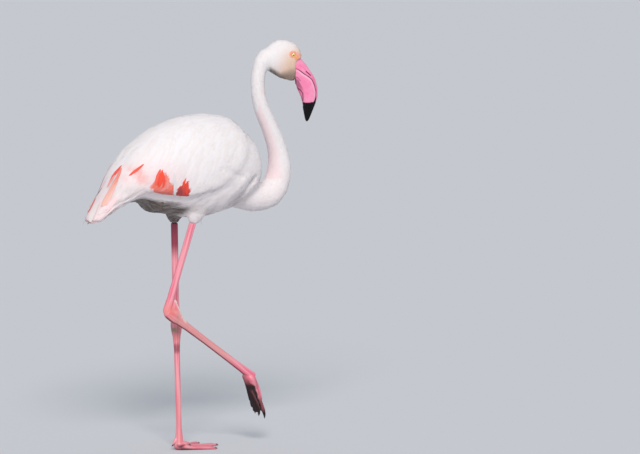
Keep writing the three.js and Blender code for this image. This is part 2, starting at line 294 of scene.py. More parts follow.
# strokes of a comb over the right side, laid the way the feathers lie; the left side mirrors them
combStrokes = [
    [(175, 0, 640), (140, 0, 676), (100, 0, 692), (36, 0, 699), (-24, 0, 692), (-80, 0, 664), (-126, 0, 611),
     (-161, 0, 558), (-205, 0, 510)],
    [(160, -30, 655), (128, -58, 650), (98, -78, 625), (76, -86, 590), (58, -86, 555), (40, -80, 525)],
    [(110, -45, 678), (75, -70, 655), (45, -88, 615), (25, -90, 575), (10, -84, 545)],
    [(60, -45, 690), (22, -72, 660), (-5, -88, 615), (-24, -88, 575), (-38, -80, 550)],
    [(5, -42, 688), (-35, -68, 655), (-65, -80, 612), (-88, -76, 575), (-106, -68, 552)],
    [(-50, -35, 672), (-90, -55, 636), (-120, -58, 600), (-146, -50, 570), (-168, -42, 545)],
    [(-95, -24, 645), (-130, -35, 608), (-160, -34, 573), (-188, -28, 540), (-214, -16, 508)],
    [(-140, -38, 555), (-170, -38, 535), (-195, -28, 515), (-215, -14, 500)],
    [(186, -14, 600), (172, -45, 585), (145, -66, 560), (105, -76, 543), (60, -76, 528), (10, -72, 520),
     (-40, -66, 522), (-90, -56, 535), (-125, -44, 548)],
    [(150, -25, 520), (105, -45, 505), (50, -48, 498), (0, -45, 500), (-50, -42, 512), (-95, -36, 528),
     (-130, -28, 540)],
    [(186, 0, 575), (150, 0, 515), (100, 0, 492), (50, 0, 486), (0, 0, 492), (-50, 0, 508), (-100, 0, 528),
     (-150, 0, 532), (-200, 0, 500)],
]


def sampled(points, step):
    # a polyline cut into short even steps
    points = np.array(points, float)
    pieces = np.linalg.norm(np.diff(points[:, :3], axis=0), axis=1)
    lengths = np.concatenate([[0], np.cumsum(pieces)])
    places = np.linspace(0, lengths[-1], max(int(lengths[-1] / step), 2) + 1)
    cut = [np.interp(places, lengths, points[:, axis]) for axis in range(points.shape[1])]
    return np.stack(cut, 1), places


def heightOf(line, at):
    # the height of a drawn line at each place; its points run from low places to high ones
    places, heights = np.array(line, float).T
    return np.interp(at, places, heights)


comb = {"step": 6, "body": (30, 1.0), "neck": (26, 1.2), "thigh": (16, 1.5)}     # reach and pull of a stroke


def gatherComb():
    # every stroke in short pieces: where each lies, which way it points and how far it reaches
    places, directions, reaches = [], [], []

    def add(stroke, reach, strength):
        points, _ = sampled(stroke, comb["step"])
        places.append((points[1:, :3] + points[:-1, :3]) / 2)
        directions.append(unit(np.diff(points[:, :3], axis=0)) * strength)
        reaches.append(np.full(len(points) - 1, reach))

    for stroke in combStrokes:
        add(stroke, *comb["body"])
        add([(x, -y, z) for x, y, z in stroke], *comb["body"])
    add([point[:3] for point in lines["head"]], *comb["neck"])
    add([point[:3] for point in lines["neck"][:-1]], *comb["neck"])
    add([point[:3] for point in lines["thighRight"]], *comb["thigh"])
    add([point[:3] for point in lines["thighLeft"]], *comb["thigh"])
    return np.concatenate(places), np.concatenate(directions), np.concatenate(reaches)


combPlaces, combDirections, combReaches = gatherComb()


def lieOfCoat(points, normals):
    # which way the coat lies at each place, from the strokes near it; a few thousand places at a time
    flow = np.empty_like(points)
    batch = 4000
    for start in range(0, len(points), batch):
        some = slice(start, start + batch)
        away = ((points[some, None, :] / mm - combPlaces[None]) ** 2).sum(2)
        weight = np.exp(-away / combReaches ** 2) + 1e-4 / (1 + away)
        flow[some] = weight @ combDirections
    flow -= normals * (flow * normals).sum(1)[:, None]
    return unit(flow)


def alongLines(points):
    # which line each point belongs to, how far down it lies, and how near in girths
    best = np.full(len(points), 1e9)
    names = np.zeros(len(points), int)
    run = np.zeros(len(points))
    middle = np.zeros((len(points), 3))
    for number, (name, line) in enumerate(lines.items()):
        samples, places = sampled(line, 5)
        for sample, place in zip(samples, places):
            near = np.linalg.norm(points / mm - sample[:3], axis=1) / sample[3]
            closer = near < best
            best[closer] = near[closer]
            names[closer] = number
            run[closer] = place / places[-1]
            middle[closer] = sample[:3]
    return names, run, middle


# the markings are worked out alike for skin and coat
windows = {     # side views of the folded wing's two coral patches and their brighter and duller parts: x, z
    "rear": [(-110, 574), (-103, 582), (-98, 589), (-94, 598), (-91, 604), (-86, 613), (-82, 605), (-79, 599),
             (-74, 597), (-73, 590), (-69, 580), (-60, 578), (-57, 552), (-75, 553), (-91, 558), (-100, 560),
             (-107, 567)],
    "core": [(-97, 573), (-96, 588), (-93, 598), (-89, 603), (-86, 607), (-82, 596), (-84, 587), (-86, 579),
             (-91, 574)],
    "front": [(-56, 551), (-54, 561), (-53, 571), (-45, 573), (-42, 580), (-35, 589), (-27, 579), (-24, 565),
              (-25, 547), (-38, 548), (-48, 550)],
    # the dusky part is painted shade on the front patch's lower left
    "dusky": [(-54, 553), (-51, 561), (-50, 570), (-44, 571), (-39, 551)],
}
# the folded wing's lower rim: x and height
wingRim = [(-222, 498), (-200, 514), (-175, 534), (-150, 546), (-123, 561), (-110, 562), (-70, 553),
           (-28, 547), (0, 549), (50, 560), (95, 585), (130, 618)]
neckMiddle = [(560, 247), (620, 242), (669, 223), (711, 203), (755, 194), (790, 197)]     # height and x
chinLine = [(0, 0), (24, 16.8), (45, 9.5)]       # how far the chin lies below the head's own middle
throatSoft = [(12, 4.5), (45, 12)]               # how softly the throat's shade starts
# x, the height that the belly's shade hangs from, and how far below it the shade starts
bellyLine = [(-222, 498, 0), (-200, 514, 1), (-150, 546, 4), (-131, 560, 6), (-112, 563, 8), (-70, 553, 7),
             (0, 549, 12), (60, 560, 30), (100, 560, 60)]
# layers of that shade: strength, depths where it sets in and is full, and where it fades out forwards
bellyShades = [(1.0, 4, 14, -58, -6), (0.4, 0, 30, 10, 90), (0.95, 10, 24, -20, 8)]
# soft patches of colour seen from the side: middle x and z, half-sizes and strength; "lean" slants one,
# "square" draws it out to corners and "hard" makes its edge steeper
washes = {
    "blush": {"middle": (-129, 596), "size": (11, 16), "strength": 0.6, "square": 4, "lean": 0.5},
    "smallBlush": {"middle": (-153, 588), "size": (7, 10), "strength": 0.22, "square": 4},
    "glow": {"middle": (-95, 590), "size": (55, 32), "strength": 0.6},
    # painted shade on the coverts below the wing
    "covert": {"middle": (-142, 564), "size": (26, 11), "strength": 0.15, "hard": 2},
    # painted shadow in the crease at the neck's base
    "fold": {"middle": (116, 522), "size": (26, 20), "strength": 0.3},
}
headFrom = 740      # the head's markings are kept above this height
wingSide = 20       # and the wing's this far out from the middle plane
# the naked skin of the face: two ovals in the head's own frame, as place and half-sizes
nakedFace = {"eye": ((50.5, 4.8), (10.5, 9)), "lores": ((60, -0.5), (9.5, 10.5))}


def inside(outline, x, z):
    # even-odd test of points against a closed outline
    found = np.zeros(x.shape, bool)
    for (x0, z0), (x1, z1) in zip(outline, outline[1:] + outline[:1]):
        crosses = (z0 > z) != (z1 > z)
        found ^= crosses & (x < (x1 - x0) * (z - z0) / (z1 - z0 + 1e-12) + x0)
    return found


def wash(name, x, z):
    # how strong one soft patch is at each place
    patch = washes[name]
    up = z - patch["middle"][1]
    across = x - patch["middle"][0] + patch.get("lean", 0) * up
    square = patch.get("square", 2)
    far = (across / patch["size"][0]) ** square + (up / patch["size"][1]) ** square
    return patch["strength"] * np.exp(-far ** patch.get("hard", 1))


def bareFace(points):
    # 1 on the naked skin round the eye and on the lores, 0 where the face is feathered
    local = toSkull(points / mm)
    far = [np.hypot((local[:, 0] - u) / wide, (local[:, 2] - v) / high)
           for (u, v), (wide, high) in nakedFace.values()]
    return (1 - ease(np.min(far, axis=0), 0.75, 1.0)) * (local[:, 0] > 30) * (points[:, 2] > headFrom * mm)


def throatShade(local):
    # painted shade under the chin; local is in the head's own frame
    u = local[:, 0]
    below = -local[:, 2] - heightOf(chinLine, u) - 20.5
    return (0.85 - 0.2 * ease(u, 22, 38)) * ease(below / heightOf(throatSoft, u), -1, 1) * ease(u, -4, 5)


def bellyShade(x, y, z):
    # the belly gets painted shade, with some soil, from some way under the wing's rim
    places, heights, starts = np.array(bellyLine).T
    below = np.interp(x, places, heights) - z - np.interp(x, places, starts)
    low = (z < 620) & (x < 150)
    shade = np.zeros(len(x))
    for strength, first, full, last, gone in bellyShades:
        shade = np.maximum(shade, low * strength * ease(below, first, full) * (1 - ease(x, last, gone)))
    # the right thigh stays white where it leaves the belly, and the left one gets a painted shadow of the
    # body
    rightThigh = (1 - ease(z, 500, 515)) * (np.abs(y + 39) < 26) * ease(x, -15, -4) * (x < 42)
    leftThigh = (z < 512) * (np.abs(x) < 30) * (y > -6)
    return np.maximum(shade * (1 - rightThigh), 0.9 * leftThigh)


def markings(points):
    # how coral, bleached, dusky, rosy and creamy the plumage is at each place, and how much painted shade,
    # with some soil on the belly, darkens it
    x, y, z = (points / mm).T
    local = toSkull(points / mm)
    head = z > headFrom
    side = np.abs(y) > wingSide
    rear, core, front, dusky = [inside(outline, x, z) & side for outline in windows.values()]
    blush = (wash("blush", x, z) + wash("smallBlush", x, z)) * side
    cream = ease(local[:, 0] - 0.45 * local[:, 2], 6, 56) * (1 - 0.8 * ease(local[:, 2], -2, 26)) * head
    nape = (z > 560) * (z < 800) * (x > 190) * ease(heightOf(neckMiddle, z) - x, 2, 14)
    rump = ease(-x, 150, 200)
    belly = ease(-z, -640, -500)
    # the coral turns dusky towards the patches' lower edges: painted shade
    rearFoot = rear * ease(-z, -568, -558)
    frontFoot = front * ease(-z, -578, -558)
    # painted shade under the belly and the chin, in the neck's crease and on the coverts, with some soil on
    # the belly
    stainAndShade = bellyShade(x, y, z) + throatShade(local) * head + wash("fold", x, z) * (z < 560)
    return {
        "coral": np.maximum(rear | front, blush),
        "bleach": np.where(core | front, 0.05, 0.75),
        "dusky": np.clip(0.5 * dusky + 0.35 * rearFoot + 0.45 * frontFoot, 0, 1),
        "rosy": np.clip(0.5 * nape + wash("glow", x, z) * side + 0.45 * rump + 0.15 * belly, 0, 1),
        "cream": cream,
        "stainAndShade": np.clip(stainAndShade + wash("covert", x, z) * side, 0, 1),
    }


# how the skin is drawn round the flesh nodes and smoothed, and how deep it lies under the coat's outer form
skinSettings = {"swell": 0.4 * mm, "voxel": 3 * mm, "rounds": 10, "bodyRounds": 45}
fleshNodes = ["trunk", "wing_left", "wing_right", "tail", "neck_lower", "neck_middle", "neck_upper", "head",
              "thigh_left", "thigh_right"]
coatDepth = {"head": 0.9, "neck": 1.5, "body": 1.2, "thighRight": 1.5, "thighLeft": 1.5}

# soft furrows of the plumage on the right side: depth, half-width and line; the left mirrors them, and where
# the depth is negative the plumage swells instead
furrows = [
    (3.0, 5.5, [(53, -92, 600), (74, -90, 592), (110, -77, 577)]),
    (7.5, 6.5, [(153, -59, 568), (140, -61, 558), (133, -57, 545), (121, -54, 532), (108, -50, 521),
                (98, -36, 508)]),
    (-2.2, 9.0, [(128, -66, 578), (111, -72, 564), (98, -70, 551), (84, -66, 540), (74, -55, 525)]),
    (1.7, 5.0, [(28, -88, 561), (4, -79, 549), (-16, -68, 534)]),
    (1.4, 4.5, [(36, -76, 542), (8, -69, 530), (-1, -59, 519)]),
    (1.2, 5.5, [(76, -79, 560), (45, -77, 543), (28, -64, 524)]),
    (0.9, 5.0, [(-19, -85, 630), (-31, -88, 606), (-38, -88, 583)]),
    (0.8, 5.0, [(14, -83, 644), (-4, -92, 608), (-10, -91, 579)]),
    (0.8, 5.5, [(108, -68, 656), (96, -78, 637), (76, -87, 619)]),
    (1.0, 5.0, [(-118, -10, 647), (-134, -11, 629), (-151, -10, 609)]),
    (-11.5, 19.0, [(-69, -34, 519), (-71, -17, 517), (-71, 0, 516)]),
]
# the wing stands out over the flank at its rim: how far out and in, how far up and down that fades
ledge = {"out": 2.0, "in": 3.4, "above": 30, "below": 16, "edge": 2.0}


def relief(points):
    # how far the plumage stands out or is drawn in at each place
    x, y, z = (points / mm).T
    mirrored = np.stack([x, -np.abs(y), z], 1)
    above = (z - heightOf(wingRim, x)) * 0.85
    stands = np.where(above > 0, ledge["out"] * np.exp(-above / ledge["above"]),
                      -ledge["in"] * np.exp(above / ledge["below"]))
    rise = stands * np.tanh(np.abs(above) / ledge["edge"]) * ease(-x, -75, -30) * (1 - ease(-x, 185, 210))
    rise *= ease(np.abs(y), 10, 25) * (np.abs(above) < 120)
    for depth, width, line in furrows:
        samples, _ = sampled(line, width / 2)
        away = np.full(len(points), 1e9)
        for sample in samples:
            away = np.minimum(away, np.linalg.norm(mirrored - sample, axis=1))
        rise -= depth * np.exp(-(away / width) ** 2)
    return rise


def makeForm():
    # the outer form of the plumage: all flesh in one, without its parting cuts
    form = fusedCopy("skin", fleshNodes, skinSettings["swell"], skinSettings["voxel"], skinSettings["rounds"])
    names, run, _ = alongLines(pointsOf(form))
    soft = ease(run, 0.0, 0.12) * (1 - ease(run, 0.75, 0.9)) * (names == bodyLine)
    smoothWhere(form, soft, skinSettings["bodyRounds"])
    points, normals = pointsOf(form), normalsOf(form)
    movePoints(form, points + normals * relief(points)[:, None] * mm)
    return form


form = makeForm()
formPoints = pointsOf(form)
formNormals = normalsOf(form)
formTree = BVHTree.FromObject(form, bpy.context.evaluated_depsgraph_get())
formFaces = np.empty(len(form.data.polygons) * 4, int)
form.data.polygons.foreach_get("vertices", formFaces)
formFaces = formFaces.reshape(-1, 4)
faceNormals = unit(formNormals[formFaces].sum(1))
lineOf, runOf, _ = alongLines(formPoints)
depthOf = np.array([coatDepth[name] for name in lineNames])[lineOf]
towardsTail = (lineOf == bodyLine) * ease(runOf, 0.62, 0.95)
depthOf = depthOf * (1 - 0.7 * towardsTail) * (1 - bareFace(formPoints))
print("form drawn:", len(formPoints), "points")


def onForm(points):
    # nearest place on the form, and the smooth normal and the coat's depth there
    places, normals, depths = np.empty_like(points), np.empty_like(points), np.empty(len(points))
    for index, point in enumerate(points):
        place, _, face, _ = formTree.find_nearest(point)
        places[index] = place
        normals[index] = faceNormals[face]
        depths[index] = depthOf[formFaces[face, 0]]
    return places, normals, depths


def scatter(spacing, keep):
    # random roots on the form, no two nearer than the spacing there
    corners = formPoints[formFaces]
    sides = np.cross(corners[:, 1] - corners[:, 0], corners[:, 3] - corners[:, 0])
    area = np.linalg.norm(sides, axis=1)
    gap = spacing[formFaces[:, 0]] * mm
    weight = area / gap ** 2 * keep[formFaces[:, 0]]
    count = int(weight.sum() * 4)     # four tries for each feather there is room for
    faces = chance.choice(len(area), count, p=weight / weight.sum())
    across, down = chance.random(count)[:, None], chance.random(count)[:, None]
    spots = ((corners[faces, 0] * (1 - across) + corners[faces, 1] * across) * (1 - down)
             + (corners[faces, 3] * (1 - across) + corners[faces, 2] * across) * down)
    tree = KDTree(count)
    for index, spot in enumerate(spots):
        tree.insert(spot, index)
    tree.balance()
    taken = np.zeros(count, bool)
    kept = []
    for index in range(count):
        if taken[index]:
            continue
        kept.append(index)
        for _, other, _ in tree.find_range(spots[index], gap[faces[index]]):
            taken[other] = True
    return spots[kept], formFaces[faces[kept], 0]


# how far each tip bends down onto the feathers below it, how unevenly feathers stand, how little of a step
# and of the way it faces a shaft may keep on a sharp bend before it goes straight on
shafts = {"tipSink": 0.35, "uneven": 0.1, "step": 0.55, "facing": 0.3}


def combPaths(roots, lengths, shares, sway=6.0, lift=0.0):
    # the shafts: each starts in the coat's depth and follows the lie of the coat to the outer form
    count = len(roots)
    place, normal, depth = onForm(roots)
    turn = np.radians(chance.normal(0, sway, count))[:, None]
    rise = lift + chance.normal(0, shafts["uneven"], count)
    paths, ups = np.empty((count, len(shares), 3)), np.empty((count, len(shares), 3))
    for step, share in enumerate(shares):
        further = shares[min(step + 1, len(shares) - 1)] - share
        stride = (lengths * max(further, 1e-3) * mm)[:, None]
        height = -depth * (1 - share ** 0.8) + rise * share - shafts["tipSink"] * share ** 6
        paths[:, step] = place + normal * height[:, None] * mm
        ups[:, step] = normal
        flow = lieOfCoat(place, normal)
        flow = flow * np.cos(turn) + np.cross(normal, flow) * np.sin(turn)
        ahead = place + flow * stride
        nearest, newNormal, _ = onForm(ahead)
        free = np.linalg.norm(nearest - place, axis=1) < shafts["step"] * stride[:, 0]
        free |= (newNormal * normal).sum(1) < shafts["facing"]
        place = np.where(free[:, None], ahead, nearest)
        normal = np.where(free[:, None], normal, newNormal)
    return paths, ups


# the unwrap of the skin: where each line's band starts, how high it is, and the size of a feather's patch
unwrap = {"bands": [0.0, 0.15, 0.4, 0.9, 0.95], "heights": [0.13, 0.23, 0.48, 0.04, 0.04], "patch": 0.003}


def rootPatch(roots):
    # each root's place on the unwrap: along its centre line and round it
    names, run, middle = alongLines(roots)
    away = roots / mm - middle
    bearing = np.arctan2(away[:, 1], np.where(names == neckLine, away[:, 0], away[:, 2]))
    across = (bearing / math.pi + 1) / 2
    band, height = np.array(unwrap["bands"])[names], np.array(unwrap["heights"])[names]
    return np.stack([0.01 + 0.98 * across, band + run * height + 0.005], 1)


def vaneMesh(name, points, shape):
    # closed thin vanes: the grid of points above, a flat underside and a cap at each end
    count, steps, columns = shape
    ids = np.arange(count * steps * columns).reshape(shape)
    top = np.stack([ids[:, :-1, :-1], ids[:, :-1, 1:], ids[:, 1:, 1:], ids[:, 1:, :-1]], -1).reshape(-1, 4)
    under = np.stack([ids[:, :-1, -1], ids[:, :-1, 0], ids[:, 1:, 0], ids[:, 1:, -1]], -1).reshape(-1, 4)
    rootCap = np.concatenate([ids[:, 0, :1], ids[:, 0, :0:-1]], 1)
    quads = np.concatenate([top, under])
    caps = np.concatenate([rootCap, ids[:, -1, :]])
    loops = np.concatenate([quads.ravel(), caps.ravel()])
    starts = np.concatenate([np.arange(len(quads)) * 4, quads.size + np.arange(len(caps)) * columns])
    mesh = bpy.data.meshes.new(name)
    mesh.vertices.add(len(points))
    mesh.vertices.foreach_set("co", points.ravel())
    mesh.loops.add(len(loops))
    mesh.loops.foreach_set("vertex_index", loops)
    mesh.polygons.add(len(starts))
    mesh.polygons.foreach_set("loop_start", starts)
    mesh.update(calc_edges=True)
    mesh.validate()
    mesh.shade_smooth()
    return mesh, loops


def sharpenRims(mesh, steps, columns):
    # the rim of each vane is a sharp edge, so that its two faces are shaded apart
    ends = np.empty(len(mesh.edges) * 2, int)
    mesh.edges.foreach_get("vertices", ends)
    ends = ends.reshape(-1, 2)
    column, step = ends % columns, (ends // columns) % steps
    rail = (column[:, 0] == column[:, 1]) & ((column[:, 0] == 0) | (column[:, 0] == columns - 1))
    cap = (step[:, 0] == step[:, 1]) & ((step[:, 0] == 0) | (step[:, 0] == steps - 1))
    sharp = mesh.attributes.new("sharp_edge", "BOOLEAN", "EDGE")
    sharp.data.foreach_set("value", rail | cap)


def makeVanes(name, paths, ups, widths, arch, masks, columns=3):
    # one piece of many feathers: each a ridged vane along its shaft, with its colours as attributes
    count, steps, _ = paths.shape
    shape = (count, steps, columns)
    across = np.linspace(-1, 1, columns)
    side = unit(np.cross(ups, unit(np.gradient(paths, axis=1))))
    reach = side[:, :, None, :] * (widths[:, :, None, None] * -across[None, None, :, None] * mm)
    bow = arch[:, None] * widths / widths.max(1, keepdims=True)
    drop = ups[:, :, None, :] * (bow[:, :, None, None] * np.abs(across)[None, None, :, None] ** 1.5 * mm)
    mesh, loops = vaneMesh(name, (paths[:, :, None, :] + reach - drop).reshape(-1, 3), shape)
    sharpenRims(mesh, steps, columns)
    piece = bpy.data.objects.new(name, mesh)
    bpy.context.scene.collection.objects.link(piece)
    shown = {**masks, "along": np.broadcast_to(np.linspace(0, 1, steps)[None, :], shape[:2])}
    for key, values in shown.items():
        values = np.asarray(values, float)
        values = values.reshape(values.shape + (1,) * (2 - values.ndim))
        setAttribute(piece, key, np.broadcast_to(values[:, :, None], shape))
    setAttribute(piece, "across", np.broadcast_to(across, shape))
    lie = mesh.attributes.new("lie", "FLOAT_VECTOR", "POINT")
    lie.data.foreach_set("vector", np.broadcast_to(ups[:, :, None], shape + (3,)).ravel().astype(np.float32))
    # each feather is a small patch of the baking map, at its root's place
    grid = np.stack(np.meshgrid(np.linspace(-0.5, 0.5, steps), across / 2, indexing="ij"), -1)
    spots = rootPatch(paths[:, 0])[:, None, None, :] + grid[None] * unwrap["patch"]
    flat = np.clip(spots, 0, 1).reshape(-1, 2)
    layer = mesh.uv_layers.new(name="OFBake")
    layer.data.foreach_set("uv", flat[loops].ravel())
    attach(piece, "root")
    return piece


# places along a feather, and its half-width at each as a share of the widest
contour = {"places": [0, 0.3, 0.62, 0.87, 1.0], "wide": [0.4, 0.9, 1.0, 0.72, 0.12]}
lance = {"places": [0, 0.15, 0.32, 0.5, 0.67, 0.82, 0.93, 1.0],
         "wide": [0.3, 0.7, 0.92, 1.0, 0.96, 0.76, 0.45, 0.08]}
blunt = {"places": lance["places"], "wide": [0.35, 0.75, 0.95, 1.0, 1.0, 0.95, 0.74, 0.2]}
streak = {"places": lance["places"], "wide": [0.06, 0.5, 0.85, 1.0, 0.95, 0.75, 0.42, 0.06]}
band = {"places": lance["places"], "wide": [0.08, 0.42, 0.72, 0.93, 1.0, 0.96, 0.8, 0.3]}
# the stain tint is painted shade, with some soil on the belly
tints = {"white": "f5f2f4", "warm": "f3ebea", "rosy": "f9d9dc", "cream": "efcdb6", "stainAndShade": "594d44",
         "coral": "ff5238", "deep": "f64330", "salmon": "fb8a76", "blush": "fdbcb6", "dusky": "9c3f44",
         "peach": "ffc0ad", "apricot": "fd9878", "black": "17141a", "barbs": "b9b4ba",
         "naked": "f5b5a2", "orange": "f49a7a", "golden": "fdae45", "ruddy": "b8503f"}
softness = 0.62     # how far a feather takes the light of the whole surface


def bareSkin(tree):
    # naked skin: blotched pink and orange, with the golden and the ruddy spot
    spots = addNode(tree, "ShaderNodeTexCoord", {}, {}, "Object")
    blotches = addNode(tree, "ShaderNodeTexNoise", {}, {"Vector": spots, "Scale": 220.0, "Detail": 3.0})
    naked = blendColours(tree, smoothStep(tree, blotches, 0.35, 0.7), colour(tints["naked"]),
                         colour(tints["orange"]))
    for name in ("golden", "ruddy"):
        naked = blendColours(tree, attribute(tree, name), naked, colour(tints[name]))
    return naked


def plumageMaterial():
    constants = {"Roughness": 0.75, "Sheen Weight": 0.15, "Sheen Roughness": 0.5}
    material, tree, shader = newMaterial("plumage", constants)
    tone, along, across = attribute(tree, "tone"), attribute(tree, "along"), attribute(tree, "across")
    base = blendColours(tree, tone, colour(tints["white"]), colour(tints["warm"]))
    for name in ("rosy", "cream"):
        base = blendColours(tree, attribute(tree, name), base, colour(tints[name]))
    # painted shade, with some soil on the belly, darkens the plumage towards the stain tint
    base = blendColours(tree, attribute(tree, "stainAndShade") * (0.84 + tone * 0.24), base, colour(tints["stainAndShade"]))
    # coral feathers bleach towards their tips
    red = blendColours(tree, tone, colour(tints["coral"]), colour(tints["deep"]))
    pale = blendColours(tree, tone * tone, colour(tints["salmon"]), colour(tints["blush"]))
    red = blendColours(tree, attribute(tree, "bleach") * (along * 0.5 + 0.6), red, pale)
    # dusky coral is painted shade on the patches' lower parts
    red = blendColours(tree, attribute(tree, "dusky"), red, colour(tints["dusky"]))
    coral = attribute(tree, "coral")
    base = blendColours(tree, coral, base, red)
    peach = blendColours(tree, smoothStep(tree, along + tone * 0.2, 0.0, 0.75), colour(tints["apricot"]),
                         colour(tints["peach"]))
    base = blendColours(tree, attribute(tree, "peach") * (0.85 - coral * 0.5), base, peach)
    base = blendColours(tree, attribute(tree, "dark"), base, colour(tints["black"]))
    base = blendColours(tree, attribute(tree, "bare"), base, bareSkin(tree))
    # barbs slant out from the shaft, other ones on each feather
    place = addNode(tree, "ShaderNodeCombineXYZ", {}, {0: along * 14 + across * across * 3,
                                                       1: across * 9 + tone * 40, 2: tone * 100})
    barbs = addNode(tree, "ShaderNodeTexNoise", {}, {"Vector": place, "Scale": 1.6, "Detail": 2.0})
    base = blendColours(tree, smoothStep(tree, barbs, 0.35, 0.75) * 0.12, base, colour(tints["barbs"]),
                        "MULTIPLY")
    bump = addNode(tree, "ShaderNodeBump", {}, {"Height": barbs, "Strength": 0.25, "Distance": 0.4 * mm})
    # feathers lie so close that they are lit mostly as one soft surface
    lie = addNode(tree, "ShaderNodeAttribute", {"attribute_name": "lie"}, {}, "Vector")
    flat = addNode(tree, "ShaderNodeNewGeometry", {}, {}, "True Normal")
    upper = addNode(tree, "ShaderNodeVectorMath", {"operation": "DOT_PRODUCT"}, {0: flat, 1: lie}, "Value")
    share = smoothStep(tree, upper, 0.0, 0.35) * softness
    soft = addNode(tree, "ShaderNodeMix", {"data_type": "VECTOR"}, {0: share, 4: bump, 5: lie}, 1)
    even = addNode(tree, "ShaderNodeVectorMath", {"operation": "NORMALIZE"}, {0: soft})
    feed(tree, shader, Base_Color=base, Normal=even)
    return material


plumage = plumageMaterial()
featherSize = {      # length, half-width and spacing at the start and end of each line
    "head": {"length": (4.5, 7.5), "half": (0.8, 1.25), "spacing": (1.1, 1.5)},
    "neck": {"length": (8, 17), "half": (1.3, 2.5), "spacing": (1.65, 3.0)},
    "body": {"length": (20, 28), "half": (3.0, 3.8), "spacing": (3.9, 4.7)},
    "thighRight": {"length": (16, 12), "half": (2.4, 1.8), "spacing": (3.2, 2.4)},
    "thighLeft": {"length": (16, 12), "half": (2.4, 1.8), "spacing": (3.2, 2.4)},
}
tailEnd = 226     # no feather reaches further back than this
frontFrom = 20    # the body's feathers forward of this are one piece, and those behind it two


def sized(key, names, run):
    # a feather's measure at each place, from the sizes above
    start = np.array([featherSize[name][key][0] for name in lineNames])[names]
    end = np.array([featherSize[name][key][1] for name in lineNames])[names]
    return start + (end - start) * ease(run, 0, 1)


def coatMasks(paths):
    # each feather's colours follow the markings it lies on
    count, steps, _ = paths.shape
    found = {key: values.reshape(count, steps) for key, values in markings(paths.reshape(-1, 3)).items()}
    found["tone"] = chance.random(count)
    return found


def finishCoat(piece):
    # what every piece of the coat is given
    piece.data.materials.append(plumage)
    print(piece.name, len(piece.data.polygons), "faces")


def underRim(points):
    # which places lie below the folded wing
    x, y, z = (points / mm).T
    return (z < heightOf(wingRim, x)) & (x < 60)


def stopAtRim(roots, lengths, chosen):
    # feathers of the wing end at its lower rim
    starts = ~underRim(roots) & chosen & (np.abs(roots[:, 1]) > wingSide * mm)
    _, normals, _ = onForm(roots)
    flow = lieOfCoat(roots, normals)
    for share in (1.0, 0.85, 0.7, 0.55, 0.4):
        crosses = starts & underRim(roots + flow * (lengths * share * mm)[:, None])
        lengths = np.where(crosses, lengths * 0.85, lengths)
    return lengths


def layContourFeathers():
    # the short feathers all over the bird, smallest on the face
    keep = 1 - (bareFace(formPoints) > 0.4)
    roots, vertex = scatter(sized("spacing", lineOf, runOf), keep)
    names, run = lineOf[vertex], runOf[vertex]
    lengths = sized("length", names, run) * chance.uniform(0.8, 1.2, len(roots))
    lengths = np.minimum(lengths, np.maximum((roots[:, 0] / mm + tailEnd) / 0.8, 6))
    lengths = stopAtRim(roots, lengths, names == bodyLine)
    paths, ups = combPaths(roots, lengths, contour["places"])
    halves = sized("half", names, run) * chance.uniform(0.85, 1.15, len(roots))
    front = roots[:, 0] > frontFrom * mm
    body, right = names == bodyLine, roots[:, 1] < 0
    groups = {
        "headFeathers": (names == headLine, "face_plumage"),
        "neckFeathers": (names == neckLine, "neck_plumage"),
        "thighFeathers": (names > bodyLine, "plumage_white"),
        "breastFeathers": (body & front, "plumage_white"),
        "flankFeathersRight": (body & ~front & right, "plumage_white"),
        "flankFeathersLeft": (body & ~front & ~right, "plumage_white"),
    }
    for name, (choice, slot) in groups.items():
        widths = halves[choice, None] * np.array(contour["wide"])[None]
        piece = makeVanes(name, paths[choice], ups[choice], widths, halves[choice] * 0.15,
                          coatMasks(paths[choice]))
        finishCoat(piece)


layContourFeathers()

scapulars = {"spacing": 8.5, "half": 6.5, "length": (52, 92), "arch": 0.75, "shortest": 22, "lift": 0.35,
             "sway": 3, "stopAtCoral": 0.6, "blushUpTo": 0.62, "blush": 0.9,
             "lowest": [(-220, 500), (-120, 575), (-60, 600), (60, 640), (125, 660)]}


